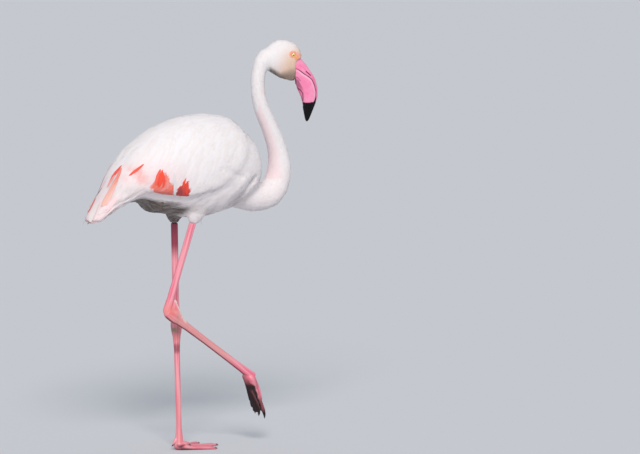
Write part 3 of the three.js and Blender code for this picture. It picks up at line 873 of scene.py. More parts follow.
def layScapulars():
    # long drooping feathers over the folded wing; they stop short of the coral windows and of the wing's rim
    x, y, z = (formPoints / mm).T
    keep = (lineOf == bodyLine) & (x < 125) & (x > -205) & (np.abs(y) > 3) & ~underRim(formPoints) & (z > 505)
    keep &= z > heightOf(scapulars["lowest"], x)
    roots, _ = scatter(np.full(len(formPoints), scapulars["spacing"]), keep)
    short, longest = scapulars["length"]
    back = ease(-roots[:, 0] / mm, -110, 20)
    lengths = (short + (longest - short) * back) * chance.uniform(0.85, 1.15, len(roots))
    lengths = np.minimum(lengths, np.maximum((roots[:, 0] / mm + tailEnd - 2) / 0.8, 10))
    # laid once at full length, to see where each one has to end, then again with the same draws
    state = chance.bit_generator.state
    places = np.linspace(0, 1, 15)
    paths, ups = combPaths(roots, lengths, places, scapulars["sway"])
    ends = np.ones(len(roots))
    for step in range(len(places) - 1, 0, -1):
        spot = paths[:, step]
        stop = (markings(spot)["coral"] > scapulars["stopAtCoral"]) | underRim(spot)
        ends = np.where(stop, places[step - 1], ends)
    shorter = lengths * ends + 2 * (ends < 1)
    chosen = shorter > scapulars["shortest"]
    chance.bit_generator.state = state
    roots, shorter = roots[chosen], shorter[chosen]
    paths, ups = combPaths(roots, shorter, lance["places"], scapulars["sway"], scapulars["lift"])
    halves = scapulars["half"] * (0.6 + 0.4 * shorter / longest) * chance.uniform(0.9, 1.1, len(roots))
    for name, choice in {"scapularsRight": roots[:, 1] < 0, "scapularsLeft": roots[:, 1] >= 0}.items():
        masks = coatMasks(paths[choice])
        # the full coral is left to the windows, so these feathers take only its blush
        masks["coral"] = masks["coral"] * scapulars["blush"] * (masks["coral"] < scapulars["blushUpTo"])
        widths = halves[choice, None] * np.array(lance["wide"])[None]
        piece = makeVanes(name, paths[choice], ups[choice], widths, np.full(choice.sum(), scapulars["arch"]),
                          masks, columns=5)
        finishCoat(piece)


layScapulars()

# single feathers that show: their line down the right wing, half-width, lift, form and colours. Each has its
# mirror on the left wing, moved out there by "apart" and down by half of it, unless it has "only"
showing = [
    {"line": [(-115, -56, 621), (-126, -52, 611), (-135, -48, 604), (-146, -43, 595)],
     "half": 3.0, "lift": 1.5, "form": streak, "coral": 1.0, "bleach": 0.2},
    {"line": [(-87, -73, 611), (-96, -74, 594), (-100, -71, 575)],
     "half": 3.4, "lift": 0.9, "form": streak, "coral": 1.0, "bleach": 0.35},
    {"line": [(-85, -76, 608), (-88, -76, 590), (-92, -73, 571)],
     "half": 4.2, "lift": 1.1, "form": streak, "coral": 1.0},
    {"line": [(-84, -77, 600), (-82, -78, 585), (-84, -75, 570)],
     "half": 2.6, "lift": 1.2, "form": streak, "coral": 1.0, "bleach": 0.1},
    {"line": [(-77, -78, 597), (-74, -79, 584), (-74, -76, 566)],
     "half": 3.0, "lift": 0.9, "form": streak, "coral": 0.9, "bleach": 0.8},
    {"line": [(-33, -88, 584), (-32, -87, 568), (-31, -82, 552)],
     "half": 3.8, "lift": 1.1, "form": streak, "coral": 1.0, "dusky": 0.12},
    {"line": [(-61, -83, 604), (-59, -82, 574), (-53, -70, 545)],
     "half": 3.2, "lift": 1.4, "form": streak, "stainAndShade": 0.12},
    {"line": [(-144, -12, 617), (-152, -12, 608), (-159, -10, 598), (-165, -7, 588), (-170, -5, 579)],
     "half": 4.6, "lift": 1.3, "form": streak, "coral": 1.0, "bleach": 0.15, "apart": 40},
    {"line": [(-160, -13, 598), (-165, -9, 588), (-170, -6, 578), (-175, -4, 568)],
     "half": 4.0, "lift": 1.6, "form": streak, "coral": 0.7, "bleach": 0.9, "apart": 40},
    {"line": [(-147, -16, 612), (-156, -21, 599), (-163, -22, 586), (-169, -21, 574)],
     "half": 4.8, "lift": 1.1, "form": streak, "coral": 0.85, "bleach": 0.8, "apart": 40},
    {"line": [(-161, -20, 592), (-169, -16, 577), (-179, -14, 559), (-190, -15, 543), (-198, -18, 530)],
     "half": 3.5, "lift": 1.3, "form": band, "coral": 0.5, "bleach": 0.4, "peach": 1.0, "apart": 40},
    {"line": [(-158, -23, 596), (-167, -21, 578), (-176, -19, 561), (-187, -20, 545), (-196, -22, 531)],
     "half": 4.2, "lift": 1.5, "form": band, "coral": 0.1, "bleach": 0.5, "peach": 1.0, "apart": 40},
    {"line": [(-163, -24, 583), (-172, -22, 566), (-182, -23, 550), (-193, -25, 534)],
     "half": 2.6, "lift": 1.8, "form": band, "peach": 1.0, "apart": 40},
    {"line": [(-160, -27, 589), (-168, -26, 574), (-175, -25, 560), (-184, -26, 546), (-191, -28, 534)],
     "half": 3.8, "lift": 1.6, "form": band, "peach": 0.7, "rosy": 1.0, "apart": 40},
    {"line": [(-155, -19, 601), (-164, -17, 589), (-170, -11, 577), (-177, -8, 564)],
     "half": 1.0, "lift": 1.9, "form": streak, "rosy": 0.4, "apart": 40},
    {"line": [(-156, -27, 596), (-164, -30, 579), (-171, -30, 562), (-182, -31, 544)],
     "half": 1.7, "lift": 1.8, "form": streak, "rosy": 0.2, "apart": 40},
    {"line": [(-172, -38, 556), (-184, -35, 540), (-199, -29, 521)],
     "half": 6.5, "lift": 0.9, "form": blunt, "rosy": 0.9},
    {"line": [(-180, -31, 547), (-193, -27, 532), (-206, -21, 515)],
     "half": 5.0, "lift": 1.2, "form": blunt, "rosy": 0.5},
    {"line": [(-167, 15, 582), (-173, 21, 566), (-180, 24, 552)],
     "half": 3.5, "lift": 1.0, "rosy": 1.0, "only": 1},
    {"line": [(-184, 23, 545), (-198, 18, 528), (-212, 12, 514)],
     "half": 3.4, "lift": 1.6, "coral": 0.9, "bleach": 0.3, "rosy": 1.0, "only": 1},
    {"line": [(-174, 17, 566), (-179, 22, 556), (-185, 24, 546)],
     "half": 2.0, "lift": 1.6, "form": streak, "dark": 0.7, "only": 1},
    {"line": [(-194, 0, 541), (-208, -6, 523), (-220, -11, 500)],
     "half": 7.8, "lift": 2.2, "form": blunt, "cream": 0.1, "only": 1},
    {"line": [(-204, 10, 524), (-216, 11, 508), (-227, 12, 491)],
     "half": 2.6, "lift": 0.8, "only": 1, "free": True},
    {"line": [(20, -43, 510), (28, -41, 494), (33, -38, 475)],
     "half": 3.6, "lift": 0.5, "only": 1, "free": True},
]


def layShowing():
    # each feather follows its line over the form, its root under the coat and its tip standing off it
    paths, ups, halves = [], [], []
    masks = {key: [] for key in ("coral", "bleach", "dusky", "peach", "rosy", "cream", "dark", "stainAndShade")}
    for hand in (1, -1):
        for feather in showing:
            if feather.get("only", hand) != hand:
                continue
            apart = feather.get("apart", 0) * (hand < 0)
            line = [(x, y * hand + apart, z - apart / 2) for x, y, z in feather["line"]]
            points, places = sampled(line, 1)
            form = feather.get("form", lance)
            shaft = [np.interp(form["places"], places / places[-1], column) for column in points.T]
            points = np.stack(shaft, 1) * mm
            place, normal, _ = onForm(points)
            rise = np.interp(form["places"], [0, 0.14, 1], [-1.0, 0.7 * feather["lift"], feather["lift"]])
            if feather.get("free"):
                place = points
            paths.append(place + normal * rise[:, None] * mm)
            ups.append(normal)
            halves.append(feather["half"] * np.array(form["wide"]))
            for key in masks:
                masks[key].append(feather.get(key, 0.0))
    masks["tone"] = chance.random(len(paths))
    piece = makeVanes("showingFeathers", np.array(paths), np.array(ups), np.array(halves),
                      np.full(len(paths), 0.5), masks, columns=5)
    finishCoat(piece)


layShowing()

# the eyes: where they sit in the head's own frame, their ball, how far the lids are open, and the rims of the
# lids as height, radius and half-width
eye = {"forward": 51.0, "side": 14.3, "up": 3.0, "radius": 6.0, "open": 4.3, "socket": 12, "behindLids": 1.3,
       "rims": [(1.15, 5.3, 0.9), (0.5, 8.4, 0.7)], "finer": 13, "cuts": 3, "cheek": 17,
       "pupil": (1.75, 1.45), "edge": (3.3, 4.3)}
# two spots on the naked skin: place and half-sizes
faceSpots = {"golden": ((58.6, -2.6), (2.2, 3.6)), "ruddy": ((57.6, -9.0), (1.6, 1.6))}


def fromEye(local):
    # how far places in the head's own frame are from the eye's middle, seen from the side
    return np.hypot(local[:, 0] - eye["forward"], local[:, 2] - eye["up"])


def divideFaces(piece, centre, reach, cuts):
    # finer faces round a place
    activate(piece)
    bpy.ops.object.mode_set(mode="EDIT")
    bpy.ops.mesh.select_mode(type="FACE")
    bpy.ops.mesh.select_all(action="DESELECT")
    bpy.ops.object.mode_set(mode="OBJECT")
    for face in piece.data.polygons:
        face.select = (face.center - Vector(centre)).length < reach
    bpy.ops.object.mode_set(mode="EDIT")
    bpy.ops.mesh.subdivide(number_cuts=cuts)
    bpy.ops.object.mode_set(mode="OBJECT")


def mouldSkin(skin):
    # the form sinks by the coat's depth, and lids are raised round the eyes
    movePoints(skin, formPoints - formNormals * depthOf[:, None] * mm)
    for hand in (1, -1):
        centre = np.array(fromSkull(eye["forward"], hand * eye["cheek"], eye["up"])) * mm
        divideFaces(skin, centre, eye["finer"] * mm, eye["cuts"])
    points = pointsOf(skin)
    local = toSkull(points / mm)
    near = (points[:, 2] > 0.77) & (local[:, 0] > 35)
    away = fromEye(local)
    side = np.abs(local[:, 1])
    ball = eye["side"] + np.sqrt(np.maximum(eye["radius"] ** 2 - away ** 2, 0))
    rims = sum(height * np.exp(-((away - radius) / half) ** 2) for height, radius, half in eye["rims"])
    raised = np.where(away < eye["open"], ball - eye["behindLids"], side + rims)
    side = np.where(near & (away < eye["socket"]) & (side > 8), raised, side)
    local[:, 1] = side * np.sign(local[:, 1])
    moved = np.stack(fromSkull(*local.T), 1) * mm
    movePoints(skin, np.where(near[:, None], moved, points))
    final = pointsOf(skin)
    for key, values in markings(final).items():
        setAttribute(skin, key, values)
    setAttribute(skin, "tone", np.full(len(final), 0.5))
    setAttribute(skin, "bare", bareFace(final))
    for key, ((u, v), (wide, high)) in faceSpots.items():
        spot = np.exp(-((local[:, 0] - u) / wide) ** 2 - ((local[:, 2] - v) / high) ** 2)
        setAttribute(skin, key, spot * near)


skin = form
mouldSkin(skin)
skin.data.materials.append(plumage)
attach(skin, "root")
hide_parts(*fleshNodes)
print("skin set in")

eyeColours = {"iris": "f3d98a", "edge": "d98a4a", "pupil": "0b0908"}


def makeEyes():
    # wet balls with a pupil and an iris, coloured by the distance from the middle of the outer side
    constants = {"Roughness": 0.08, "Coat Weight": 1.0, "Coat Roughness": 0.03}
    material, tree, shader = newMaterial("eye", constants)
    away = attribute(tree, "away")
    base = blendColours(tree, smoothStep(tree, away, *eye["edge"]), colour(eyeColours["iris"]),
                        colour(eyeColours["edge"]))
    base = blendColours(tree, smoothStep(tree, away, *eye["pupil"]), base, colour(eyeColours["pupil"]))
    feed(tree, shader, Base_Color=base)
    for hand, name in ((1, "left"), (-1, "right")):
        centre = np.array(fromSkull(eye["forward"], hand * eye["side"], eye["up"])) * mm
        turn = (math.radians(-90 * hand), 0, math.radians(skull["turn"]))
        bpy.ops.mesh.primitive_uv_sphere_add(segments=48, ring_count=32, radius=eye["radius"] * mm,
                                             location=centre, rotation=turn)
        ball = bpy.context.object
        ball.name = ball.data.name = "eye_" + name
        bpy.ops.object.transform_apply(location=True, rotation=True, scale=True)
        bpy.ops.object.shade_smooth()
        local = toSkull(pointsOf(ball) / mm)
        outer = local[:, 1] * hand > eye["side"]
        setAttribute(ball, "away", np.where(outer, fromEye(local), 9))
        ball.data.materials.append(material)
        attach(ball, "root")
        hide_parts("eye_" + name)


makeEyes()
print("eyes set")

# the bill, with its lines as they are seen from the side: forward and up from the head's pivot. "black" is
# how far down the tip's black starts, "border" the edge that goes in under the face, "channel" how far the
# hollow behind the lower half goes in, and "corner" and "bend" how far its corner and the mouth's bend move
bill = {"swell": 0.15 * mm, "voxel": 0.75 * mm, "rounds": 3, "black": -99,
        "mouth": [(58, -26), (67.6, -32.5), (79.4, -42.6), (90, -53), (97.7, -64.4), (101.4, -77.5),
                  (100.6, -92), (96.6, -105), (90.3, -121.5), (83, -140)],
        "border": [(58, -60), (58, -12), (61, -8), (66, -5.5), (73, -5)],
        "mouthDeep": 0.9, "mouthWide": 0.8, "channel": 4.5, "corner": 3.2, "bend": 3.0}
# lines cut into its sides, on both halves or the one named: depth and half-width of the cut, then the
# strength, half-width and sharpness of its dark line
billCuts = {
    "nostril": {"deep": 1.8, "wide": 1.1, "dark": (1.0, 1.1, 4),
                "line": [(79.1, -33.6), (83.7, -38.6), (87.9, -44.0)]},
    "groove": {"deep": 0.55, "wide": 1.3, "on": "bill_upper",
               "line": [(66, -19), (79, -30.5), (92, -47), (101, -66), (104.5, -84), (102, -99), (96, -115)]},
    "crease": {"deep": 1.0, "wide": 1.1, "dark": (0.8, 1.2, 2), "on": "bill_lower",
               "line": [(63.4, -70), (67.2, -72.3), (70.0, -75.8), (72.6, -80.1), (73.7, -88.2),
                        (73.7, -96.7)]},
    "fold": {"deep": 0.6, "wide": 1.1, "dark": (0.6, 1.0, 2), "on": "bill_lower",
             "line": [(59.3, -44.5), (62.5, -48.2), (66.1, -52.6)]},
}
billColours = {"pink": "fb8ab4", "light": "fd9fc3", "pale": "ffd6e4", "deep": "db5c90", "maroon": "4a1220",
               "black": "060507"}


def awayFrom(line, u, v):
    # distance from points to a drawn line, both seen from the side
    best = np.full(len(u), 1e9)
    for (u0, v0), (u1, v1) in zip(line, line[1:]):
        long = (u1 - u0) ** 2 + (v1 - v0) ** 2
        share = np.clip(((u - u0) * (u1 - u0) + (v - v0) * (v1 - v0)) / long, 0, 1)
        best = np.minimum(best, np.hypot(u - u0 - share * (u1 - u0), v - v0 - share * (v1 - v0)))
    return best


def billMaterial():
    material, tree, shader = newMaterial("bill", {"Specular IOR Level": 0.22})
    place = addNode(tree, "ShaderNodeTexCoord", {}, {}, "Object")
    blotches = addNode(tree, "ShaderNodeTexNoise", {}, {"Vector": place, "Scale": 60.0, "Detail": 3.0})
    height = attribute(tree, "height") + (blotches - 0.5) * 12
    base = blendColours(tree, smoothStep(tree, blotches, 0.35, 0.7), colour(billColours["pink"]),
                        colour(billColours["light"]))
    # deep: painted shade in the groove, along the mouth, in the lower half's hollow and on its rear strip
    base = blendColours(tree, attribute(tree, "deep"), base, colour(billColours["deep"]))
    # pale: a painted highlight along the upper half's ridge, and a paler band under the mouth
    base = blendColours(tree, attribute(tree, "glow"), base, colour(billColours["pale"]))
    # maroon: the slits and cut lines, and painted shade on the lower half's rear edge
    base = blendColours(tree, attribute(tree, "slit"), base, colour(billColours["maroon"]))
    black = smoothStep(tree, height, 1.5, -1.5)
    base = blendColours(tree, black, base, colour(billColours["black"]))
    fine = addNode(tree, "ShaderNodeTexNoise", {}, {"Vector": place, "Scale": 900.0, "Detail": 3.0})
    bump = addNode(tree, "ShaderNodeBump", {}, {"Height": fine, "Strength": 0.2, "Distance": 0.15 * mm})
    feed(tree, shader, Base_Color=base, Roughness=0.5 - black * 0.1, Normal=bump)
    return material


def shapeBill(piece, name):
    # cuts the lines in, hollows the channel behind and tucks the rear edge under the face; gives the colours,
    # with painted shade and a painted highlight
    local = toSkull(pointsOf(piece) / mm)
    u, w, v = local.T
    upper, lower = name == "bill_upper", name == "bill_lower"
    flank = ease(np.abs(w), 3, 6)
    mouth = awayFrom(bill["mouth"], u, v)
    cuts = {key: cut for key, cut in billCuts.items() if cut.get("on", name) == name}
    away = {key: awayFrom(cut["line"], u, v) for key, cut in cuts.items()}
    sink = bill["mouthDeep"] * np.exp(-(mouth / bill["mouthWide"]) ** 2)
    dark = np.zeros(len(u))
    for key, cut in cuts.items():
        sink = sink + flank * cut["deep"] * np.exp(-(away[key] / cut["wide"]) ** 2)
        if "dark" in cut:
            strength, wide, sharp = cut["dark"]
            dark = dark + strength * np.exp(-(away[key] / wide) ** sharp)
    behind = ease(-normalsOf(piece) @ skullForward, 0.1, 0.5)
    channel = np.maximum(1 - (w / 5.5) ** 2, 0) * behind * ease(v, -112, -96) * lower
    corner = ease(-v, 44, 54) * (1 - ease(-v, 62, 78)) * lower

    # the corner of the lower bill is drawn in and the bend of the mouth pushed out
    side = w - np.sign(w) * np.minimum(sink, np.abs(w) * 0.8)
    forward = u + channel * bill["channel"]
    hidden = 1 - ease(awayFrom(bill["border"], forward, v), 1.2, 2.2)
    forward = forward - hidden * np.where(v < -11, 1.8, 0.8)
    height = v + hidden * np.where(v < -11, 0.0, 1.3)
    forward = forward + bill["corner"] * corner * (1 - ease(forward, 57, 66))
    bend = bill["bend"] * np.exp(-((forward - 88) ** 2 + (height + 51) ** 2) / 200)
    forward, height = forward + 0.70 * bend, height + 0.71 * bend
    movePoints(piece, np.stack(fromSkull(forward, side, height), 1) * mm)

    # painted shade on the rear faces of the lower half's corner
    rearEdgeShade = 0.5 * behind * corner * (np.abs(side) > 3)
    slit = np.exp(-(mouth / 0.7) ** 4) * (0.2 + 0.8 * ease(forward, 60, 68))
    pink = 1 - ease(-height, 84, 98)
    if upper:
        # a painted highlight along the ridge
        glow = 0.55 * (1 - ease(np.abs(side), 2.0, 4.5)) * ease(-height, 12, 30) * pink
        # painted shade in the groove
        deep = 0.35 * flank * np.exp(-(away["groove"] / 1.2) ** 2)
    else:
        glow = 0.5 * np.exp(-((mouth - 2.6) / 1.8) ** 2) * pink
        jowlEdge = heightOf([(up, ahead) for ahead, up in billCuts["crease"]["line"][::-1]], v)
        # painted shade in the hollow behind the lower half and on the strip left of the crease
        deep = 0.5 * channel + 0.4 * ease(jowlEdge - u, 0, 1.5) * (v > -97) * ease(-v, 68, 74)
    climb = 12 * np.exp(-(mouth / 2.0) ** 2)     # the black climbs a little along the mouth
    # deep also takes painted shade along the mouth
    shades = {"slit": np.clip(slit + flank * dark + rearEdgeShade, 0, 1), "glow": glow,
              "deep": np.clip(deep + 0.3 * np.exp(-(mouth / 2.5) ** 2), 0, 1),
              "height": height - bill["black"] - climb + 60 * (height > -70)}
    for key, values in shades.items():
        setAttribute(piece, key, values)


def makeBill():
    # the two halves, each drawn anew round its node
    material = billMaterial()
    for name in ("bill_upper", "bill_lower"):
        piece = fusedCopy(name + "_horn", [name], bill["swell"], bill["voxel"], bill["rounds"])
        shapeBill(piece, name)
        piece.data.materials.append(material)
        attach(piece, "root")
        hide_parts(name)


makeBill()
print("bill made")

# how the legs' surface is drawn and smoothed, and the share of its faces that is kept
legs = {"swell": 0.45 * mm, "voxel": 1.05 * mm, "rounds": 7, "hockRounds": 16, "keep": 0.6}


def row(start, end, first, last, flat, count):
    # balls in a line, their radius changing from first to last
    start, end = np.array(start), np.array(end)
    return [(*(start + (end - start) * share), first + (last - first) * share, flat)
            for share in np.linspace(0, 1, count)]


# what rounds off the hocks and the lifted foot: x, y, z, radius in millimetres and flatness
knobs = {
    "left": [(0.6, 12, 262, 10, 0.8)],
    "right": [(-45.5, -30, 302, 9.8, 0.72), (-37, -30, 306, 9.0, 0.75), (-39, -30, 296, 11, 0.72),
              (-30, -30, 318, 6.0, 0.85), (-29, -30, 311, 7.2, 0.8), (-27, -30, 304, 8.4, 0.8),
              (-25, -30, 298, 9.0, 0.8), (-22, -30, 291, 9.0, 0.8), (-17, -30, 284, 8.4, 0.8),
              (169, -20, 125, 11.5, 0.85), (173.5, -20, 110, 10, 0.8), (175.5, -20, 88, 9.0, 0.75),
              (177.5, -20, 75, 8.0, 0.8),
              *row((149, -20, 147), (158.5, -20, 127), 5.0, 7.2, 0.8, 8),
              *row((158.5, -20, 127), (167, -20, 98), 7.2, 7.5, 0.75, 10),
              *row((174.5, -20, 135), (181.5, -20, 115), 3.5, 5.3, 0.9, 9),
              *row((181.5, -20, 115), (185.5, -20, 96), 5.3, 5.5, 0.9, 8)],
}
# where each leg is smoothed over its knobs: place, full within one distance and gone at the other
smoothed = {"left": [((0.6, 12, 262.6), 20, 34)],
            "right": [((-42, -30, 300), 20, 34), ((167, -20, 118), 26, 38)]}
# light is the colour of the painted highlight streaks
legColours = {"pink": "ee758e", "light": "f9a7b3", "deep": "cf5068", "dark": "150b0e", "pale": "f6ddd2",
              "stainAndShade": "8f8c74", "maroon": "8a3046", "tan": "e3a19b", "salmon": "f0897a", "brown": "8a4c50"}
# the front toes of the standing foot: the tip of each and a place further back on it
toes = [((68.9, -37.6, 3), (50, -29, 4)), ((94, 0, 3), (72, 0, 4)), ((72.5, 39.3, 3), (52, 30, 4))]
toeReach = 110            # how far back from its tip a toe may run
toeEdge = (4.2, 6.2)      # and how far out from its middle line it ends and the web begins
bones = {     # the joints down each leg
    "left": [(1.4, 22, 528), (0.6, 12, 262.6), (0, 0, 15)],
    "right": [(24, -40, 525), (-42, -30, 300), (169.5, -20, 143.8), (198.8, -20, 54.2)],
}


def legMaterial():
    material, tree, shader = newMaterial("legSkin", {"Coat Roughness": 0.35, "Specular IOR Level": 0.35})
    run, front = attribute(tree, "run"), attribute(tree, "front")
    place = addNode(tree, "ShaderNodeTexCoord", {}, {}, "Object")
    blotches = addNode(tree, "ShaderNodeTexNoise", {}, {"Vector": place, "Scale": 45.0, "Detail": 5.0})
    # long paler streaks down the leg: painted highlights
    flank = attribute(tree, "flank")
    drawn = addNode(tree, "ShaderNodeCombineXYZ", {}, {0: front * 2.2, 1: flank * 2.2, 2: run * 9})
    highlightStreaks = addNode(tree, "ShaderNodeTexNoise", {}, {"Vector": drawn, "Scale": 1.1, "Detail": 2.5})
    squashed = addNode(tree, "ShaderNodeMapping", {}, {"Vector": place, "Scale": (1.0, 1.0, 0.6)})
    cells = addNode(tree, "ShaderNodeTexVoronoi", {"feature": "DISTANCE_TO_EDGE"},
                    {"Vector": squashed, "Scale": 520.0}, "Distance")
    # broad plates across the front and back, small scales on the flanks
    down = run * 1000 + blotches * 2
    plates = addNode(tree, "ShaderNodeMath", {"operation": "PINGPONG"}, {0: down, 1: 2.3})
    broad = smoothStep(tree, front * front, 0.35, 0.7)
    seams = smoothStep(tree, cells, 0.0, 0.1) * (1 - broad) + smoothStep(tree, plates, 0.0, 0.45) * broad
    base = blendColours(tree, smoothStep(tree, highlightStreaks, 0.38, 0.62), colour(legColours["pink"]),
                        colour(legColours["light"]))
    # maroon, brown and pale also carry painted shade and painted highlights
    for name in ("tan", "salmon", "maroon", "brown", "pale"):
        base = blendColours(tree, attribute(tree, name), base, colour(legColours[name]))
    base = blendColours(tree, attribute(tree, "stainAndShade") * smoothStep(tree, blotches, 0.3, 0.6), base,
                        colour(legColours["stainAndShade"]))
    base = blendColours(tree, 0.14 - seams * 0.14, base, colour(legColours["deep"]))
    dark = attribute(tree, "dark")
    base = blendColours(tree, dark, base, colour(legColours["dark"]))
    bump = addNode(tree, "ShaderNodeBump", {}, {"Height": seams, "Strength": 0.3, "Distance": 0.25 * mm})
    feed(tree, shader, Base_Color=base, Roughness=0.52 - seams * 0.1, Normal=bump,
         Coat_Weight=0.16 - dark * 0.15)
    return material


def downLeg(points, joints):
    # how far down the leg each point lies, and which way round it faces
    best = np.full(len(points), 1e9)
    run, front, flank = np.zeros(len(points)), np.zeros(len(points)), np.zeros(len(points))
    covered = 0.0
    for start, end in zip(np.array(joints, float), np.array(joints[1:], float)):
        length = np.linalg.norm(end - start)
        axis = (end - start) / length
        ahead = unit(np.cross([0, 1, 0], axis)) * np.sign(np.cross([0, 1, 0], axis)[0] + 1e-9)
        share = np.clip((points - start) @ axis, 0, length)
        away = points - start - share[:, None] * axis
        far = np.linalg.norm(away, axis=1)
        closer = far < best
        best[closer] = far[closer]
        run[closer] = covered + share[closer]
        front[closer] = (away @ ahead / np.maximum(far, 1e-6))[closer]
        flank[closer] = (away[:, 1] / np.maximum(far, 1e-6))[closer]
        covered += length
    return run, front, flank


def webShare(points, tips):
    # 1 on the webs, 0 on the toes themselves
    best = np.full(len(points), 1e9)
    for tip, back in tips:
        along = unit(np.array(tip, float) - np.array(back))
        away = points - np.array(tip)
        run = np.clip(away @ along, -toeReach, 0)
        best = np.minimum(best, np.linalg.norm(away - run[:, None] * along, axis=1))
    return ease(best, *toeEdge)


# bands of colour round the standing leg: height, half-width, sharpness and strength
bands = {"maroon": (214, 10, 4, 0.62), "salmon": (235, 12, 2, 0.4), "stainAndShade": (257, 10, 2, 1.0),
         "pale": (285, 12, 2, 0.5), "brown": (214, 9, 4, 0.45)}
legSide = (-0.53, -0.848, 0)       # the side of the standing leg that carries the grey stain
# the lifted foot's own frame: down the toes from their joint, and out of their upper side
lifted = {"joint": (169.5, -20, 143.8), "down": (0.311, 0, -0.950), "out": (0.950, 0, 0.311),
          "border": [(8, -15), (17.6, -7), (39.5, -4.6), (63.5, -2), (94, -3)],
          "crease": [(24, -17.5), (68, -9.3)],
          "webStart": [(-24, 7), (-17, 10), (-12, 12), (-7, 17), (-2, 26)]}
# the lifted leg: its hock, the way down the leg below it and the way its underside faces (painted shade
# there), the pale ridge (a painted highlight) and the small stain beside the hock, all in x and z but the
# underside
shin = {"hock": (-42, 300), "along": (0.8045, -0.594), "underside": (-0.588, 0, -0.809), "stainAndShade": (-26, 288),
        "ridge": [(-28, 324), (-22, 309), (-16, 297), (-10, 285), (-4, 278)]}


def bandAt(name, z):
    # how strong one band is at each height
    middle, half, sharp, strength = bands[name]
    return strength * np.exp(-((z - middle) / half) ** sharp)


def standingShades(points, normals):
    # how the standing leg and foot are coloured at each place
    z = points[:, 2]
    foot = ease(z, 14, 9)
    # the maroon over the shank's top is a painted shadow of the body, and the pale band on its forward side a
    # painted highlight
    return {"maroon": 0.95 * ease(z, 395, 438) + bandAt("maroon", z), "salmon": bandAt("salmon", z),
            "stainAndShade": bandAt("stainAndShade", z) * ease(normals @ np.array(legSide), 0.3, 0.85),
            "pale": bandAt("pale", z) * (normals[:, 0] > 0.3),
            "dark": 0.85 * foot * webShare(points, toes) + 0.6 * (z < 1.2),
            "brown": 0.3 * foot + bandAt("brown", z), "tan": 0.35 * ease(-z, -250, -60) * (1 - foot)}


def liftedShades(points, normals, run):
    # how the lifted leg and foot are coloured at each place
    x, y, z = points.T
    away = points - np.array(lifted["joint"])
    down, out = away @ np.array(lifted["down"]), away @ np.array(lifted["out"])
    foot = ease(z, 150, 134) * (x > 140)
    upper = ease(out - heightOf(lifted["border"], down), -2.5, 1.0)
    thread = np.exp(-(awayFrom(lifted["crease"], down, out) / 1.7) ** 2) * (y < -20)
    past = down - heightOf(lifted["webStart"], out)
    dark = foot * np.maximum((1 - upper) * (0.96 - 0.55 * thread), ease(down, 70, 86)) * ease(past, -7, 5)
    # the rear edge of the foot's knob gets painted shade, like the underside
    heel = 0.8 * ease(-out, 14, 22) * ease(x, 134, 143) * ease(-z, -154, -149)
    brown = 0.3 * ease(out, 9, -4) + 0.8 * ease(past, -24, -3) * (1 - upper)
    brown = brown + 0.8 * upper * ease(down, 40, 60)
    hockX, hockZ = shin["hock"]
    alongX, alongZ = shin["along"]
    edge = ease((x - hockX) * alongX + (z - hockZ) * alongZ, -8, 2) * (1 - ease(-z, -140, -124) * (x > 120))
    stainX, stainZ = shin["stainAndShade"]
    stainAndShade = np.exp(-((x - stainX) ** 2 + ((z - stainZ) / 1.6) ** 2) / 16)
    ridge = np.exp(-(awayFrom(shin["ridge"], x, z) / 3.6) ** 2)
    # maroon on the underside is painted shade, and the pale ridge a painted highlight
    return {"maroon": 0.95 * ease(normals @ np.array(shin["underside"]), 0.6, 0.9) * edge,
            "stainAndShade": 0.7 * stainAndShade * (y < -30), "pale": ridge * ease(-y, 22, 30),
            "salmon": 0.7 * np.exp(-((x - hockX) ** 2 + (z - hockZ - 2) ** 2) / 300), "dark": dark,
            "brown": heel + (1 - heel) * foot * np.clip(brown, 0, 1),
            "tan": 0.7 * ease(run, 236, 262) * (1 - foot) * (1 - ease(x, 80, 140))}


# how much fuller than its bones the standing leg is at each height
standingFuller = [(20, 0), (45, -1.2), (80, -0.7), (150, -0.3), (185, -0.8), (225, -1.2), (245, -0.6),
                  (262, 0.3), (325, 0.3), (345, 0.8)]


def fillOut(hand, points, normals, run):
    # a fuller shank, and the tarsus of the lifted leg deeper behind
    z = points[:, 2]
    if hand == "left":
        fuller = heightOf(standingFuller, z)
    else:
        fuller = 0.8 * ease(z, 325, 345) + 0.5 * (z < 325) * (run < 262)
        underside = np.array(shin["underside"])
        share = ease(run, 236, 262) * (1 - ease(run, 470, 492))
        points += underside * (1.7 * share * np.clip(normals @ underside, 0, 1))[:, None]
    points += normals * fuller[:, None]
    points[:, 2] = np.maximum(points[:, 2], 0)


def makeLegs():
    # each bare leg with its foot is one piece, from the shank down
    material = legMaterial()
    for hand in ("left", "right"):
        nodes = ["shank_" + hand, "tarsus_" + hand, "foot_" + hand]
        piece = fusedCopy("leg_" + hand, nodes, legs["swell"], legs["voxel"], legs["rounds"], knobs[hand])
        places = pointsOf(piece) / mm
        near = np.zeros(len(places))
        for middle, full, gone in smoothed[hand]:
            near = np.maximum(near, 1 - ease(np.linalg.norm(places - np.array(middle), axis=1), full, gone))
        smoothWhere(piece, near, legs["hockRounds"])
        applyModifier(piece, "DECIMATE", ratio=legs["keep"])
        points, normals = pointsOf(piece) / mm, normalsOf(piece)
        run, front, flank = downLeg(points, bones[hand])
        fillOut(hand, points, normals, run)
        movePoints(piece, points * mm)
        if hand == "left":
            shades = standingShades(points, normals)
        else:
            shades = liftedShades(points, normals, run)
        for key, values in shades.items():
            setAttribute(piece, key, np.clip(values, 0, 1))
        for key, values in {"run": run * mm, "front": front, "flank": flank}.items():
            setAttribute(piece, key, values)
        piece.data.materials.append(material)
        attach(piece, "root")
        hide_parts(*nodes)


makeLegs()
print("legs made")

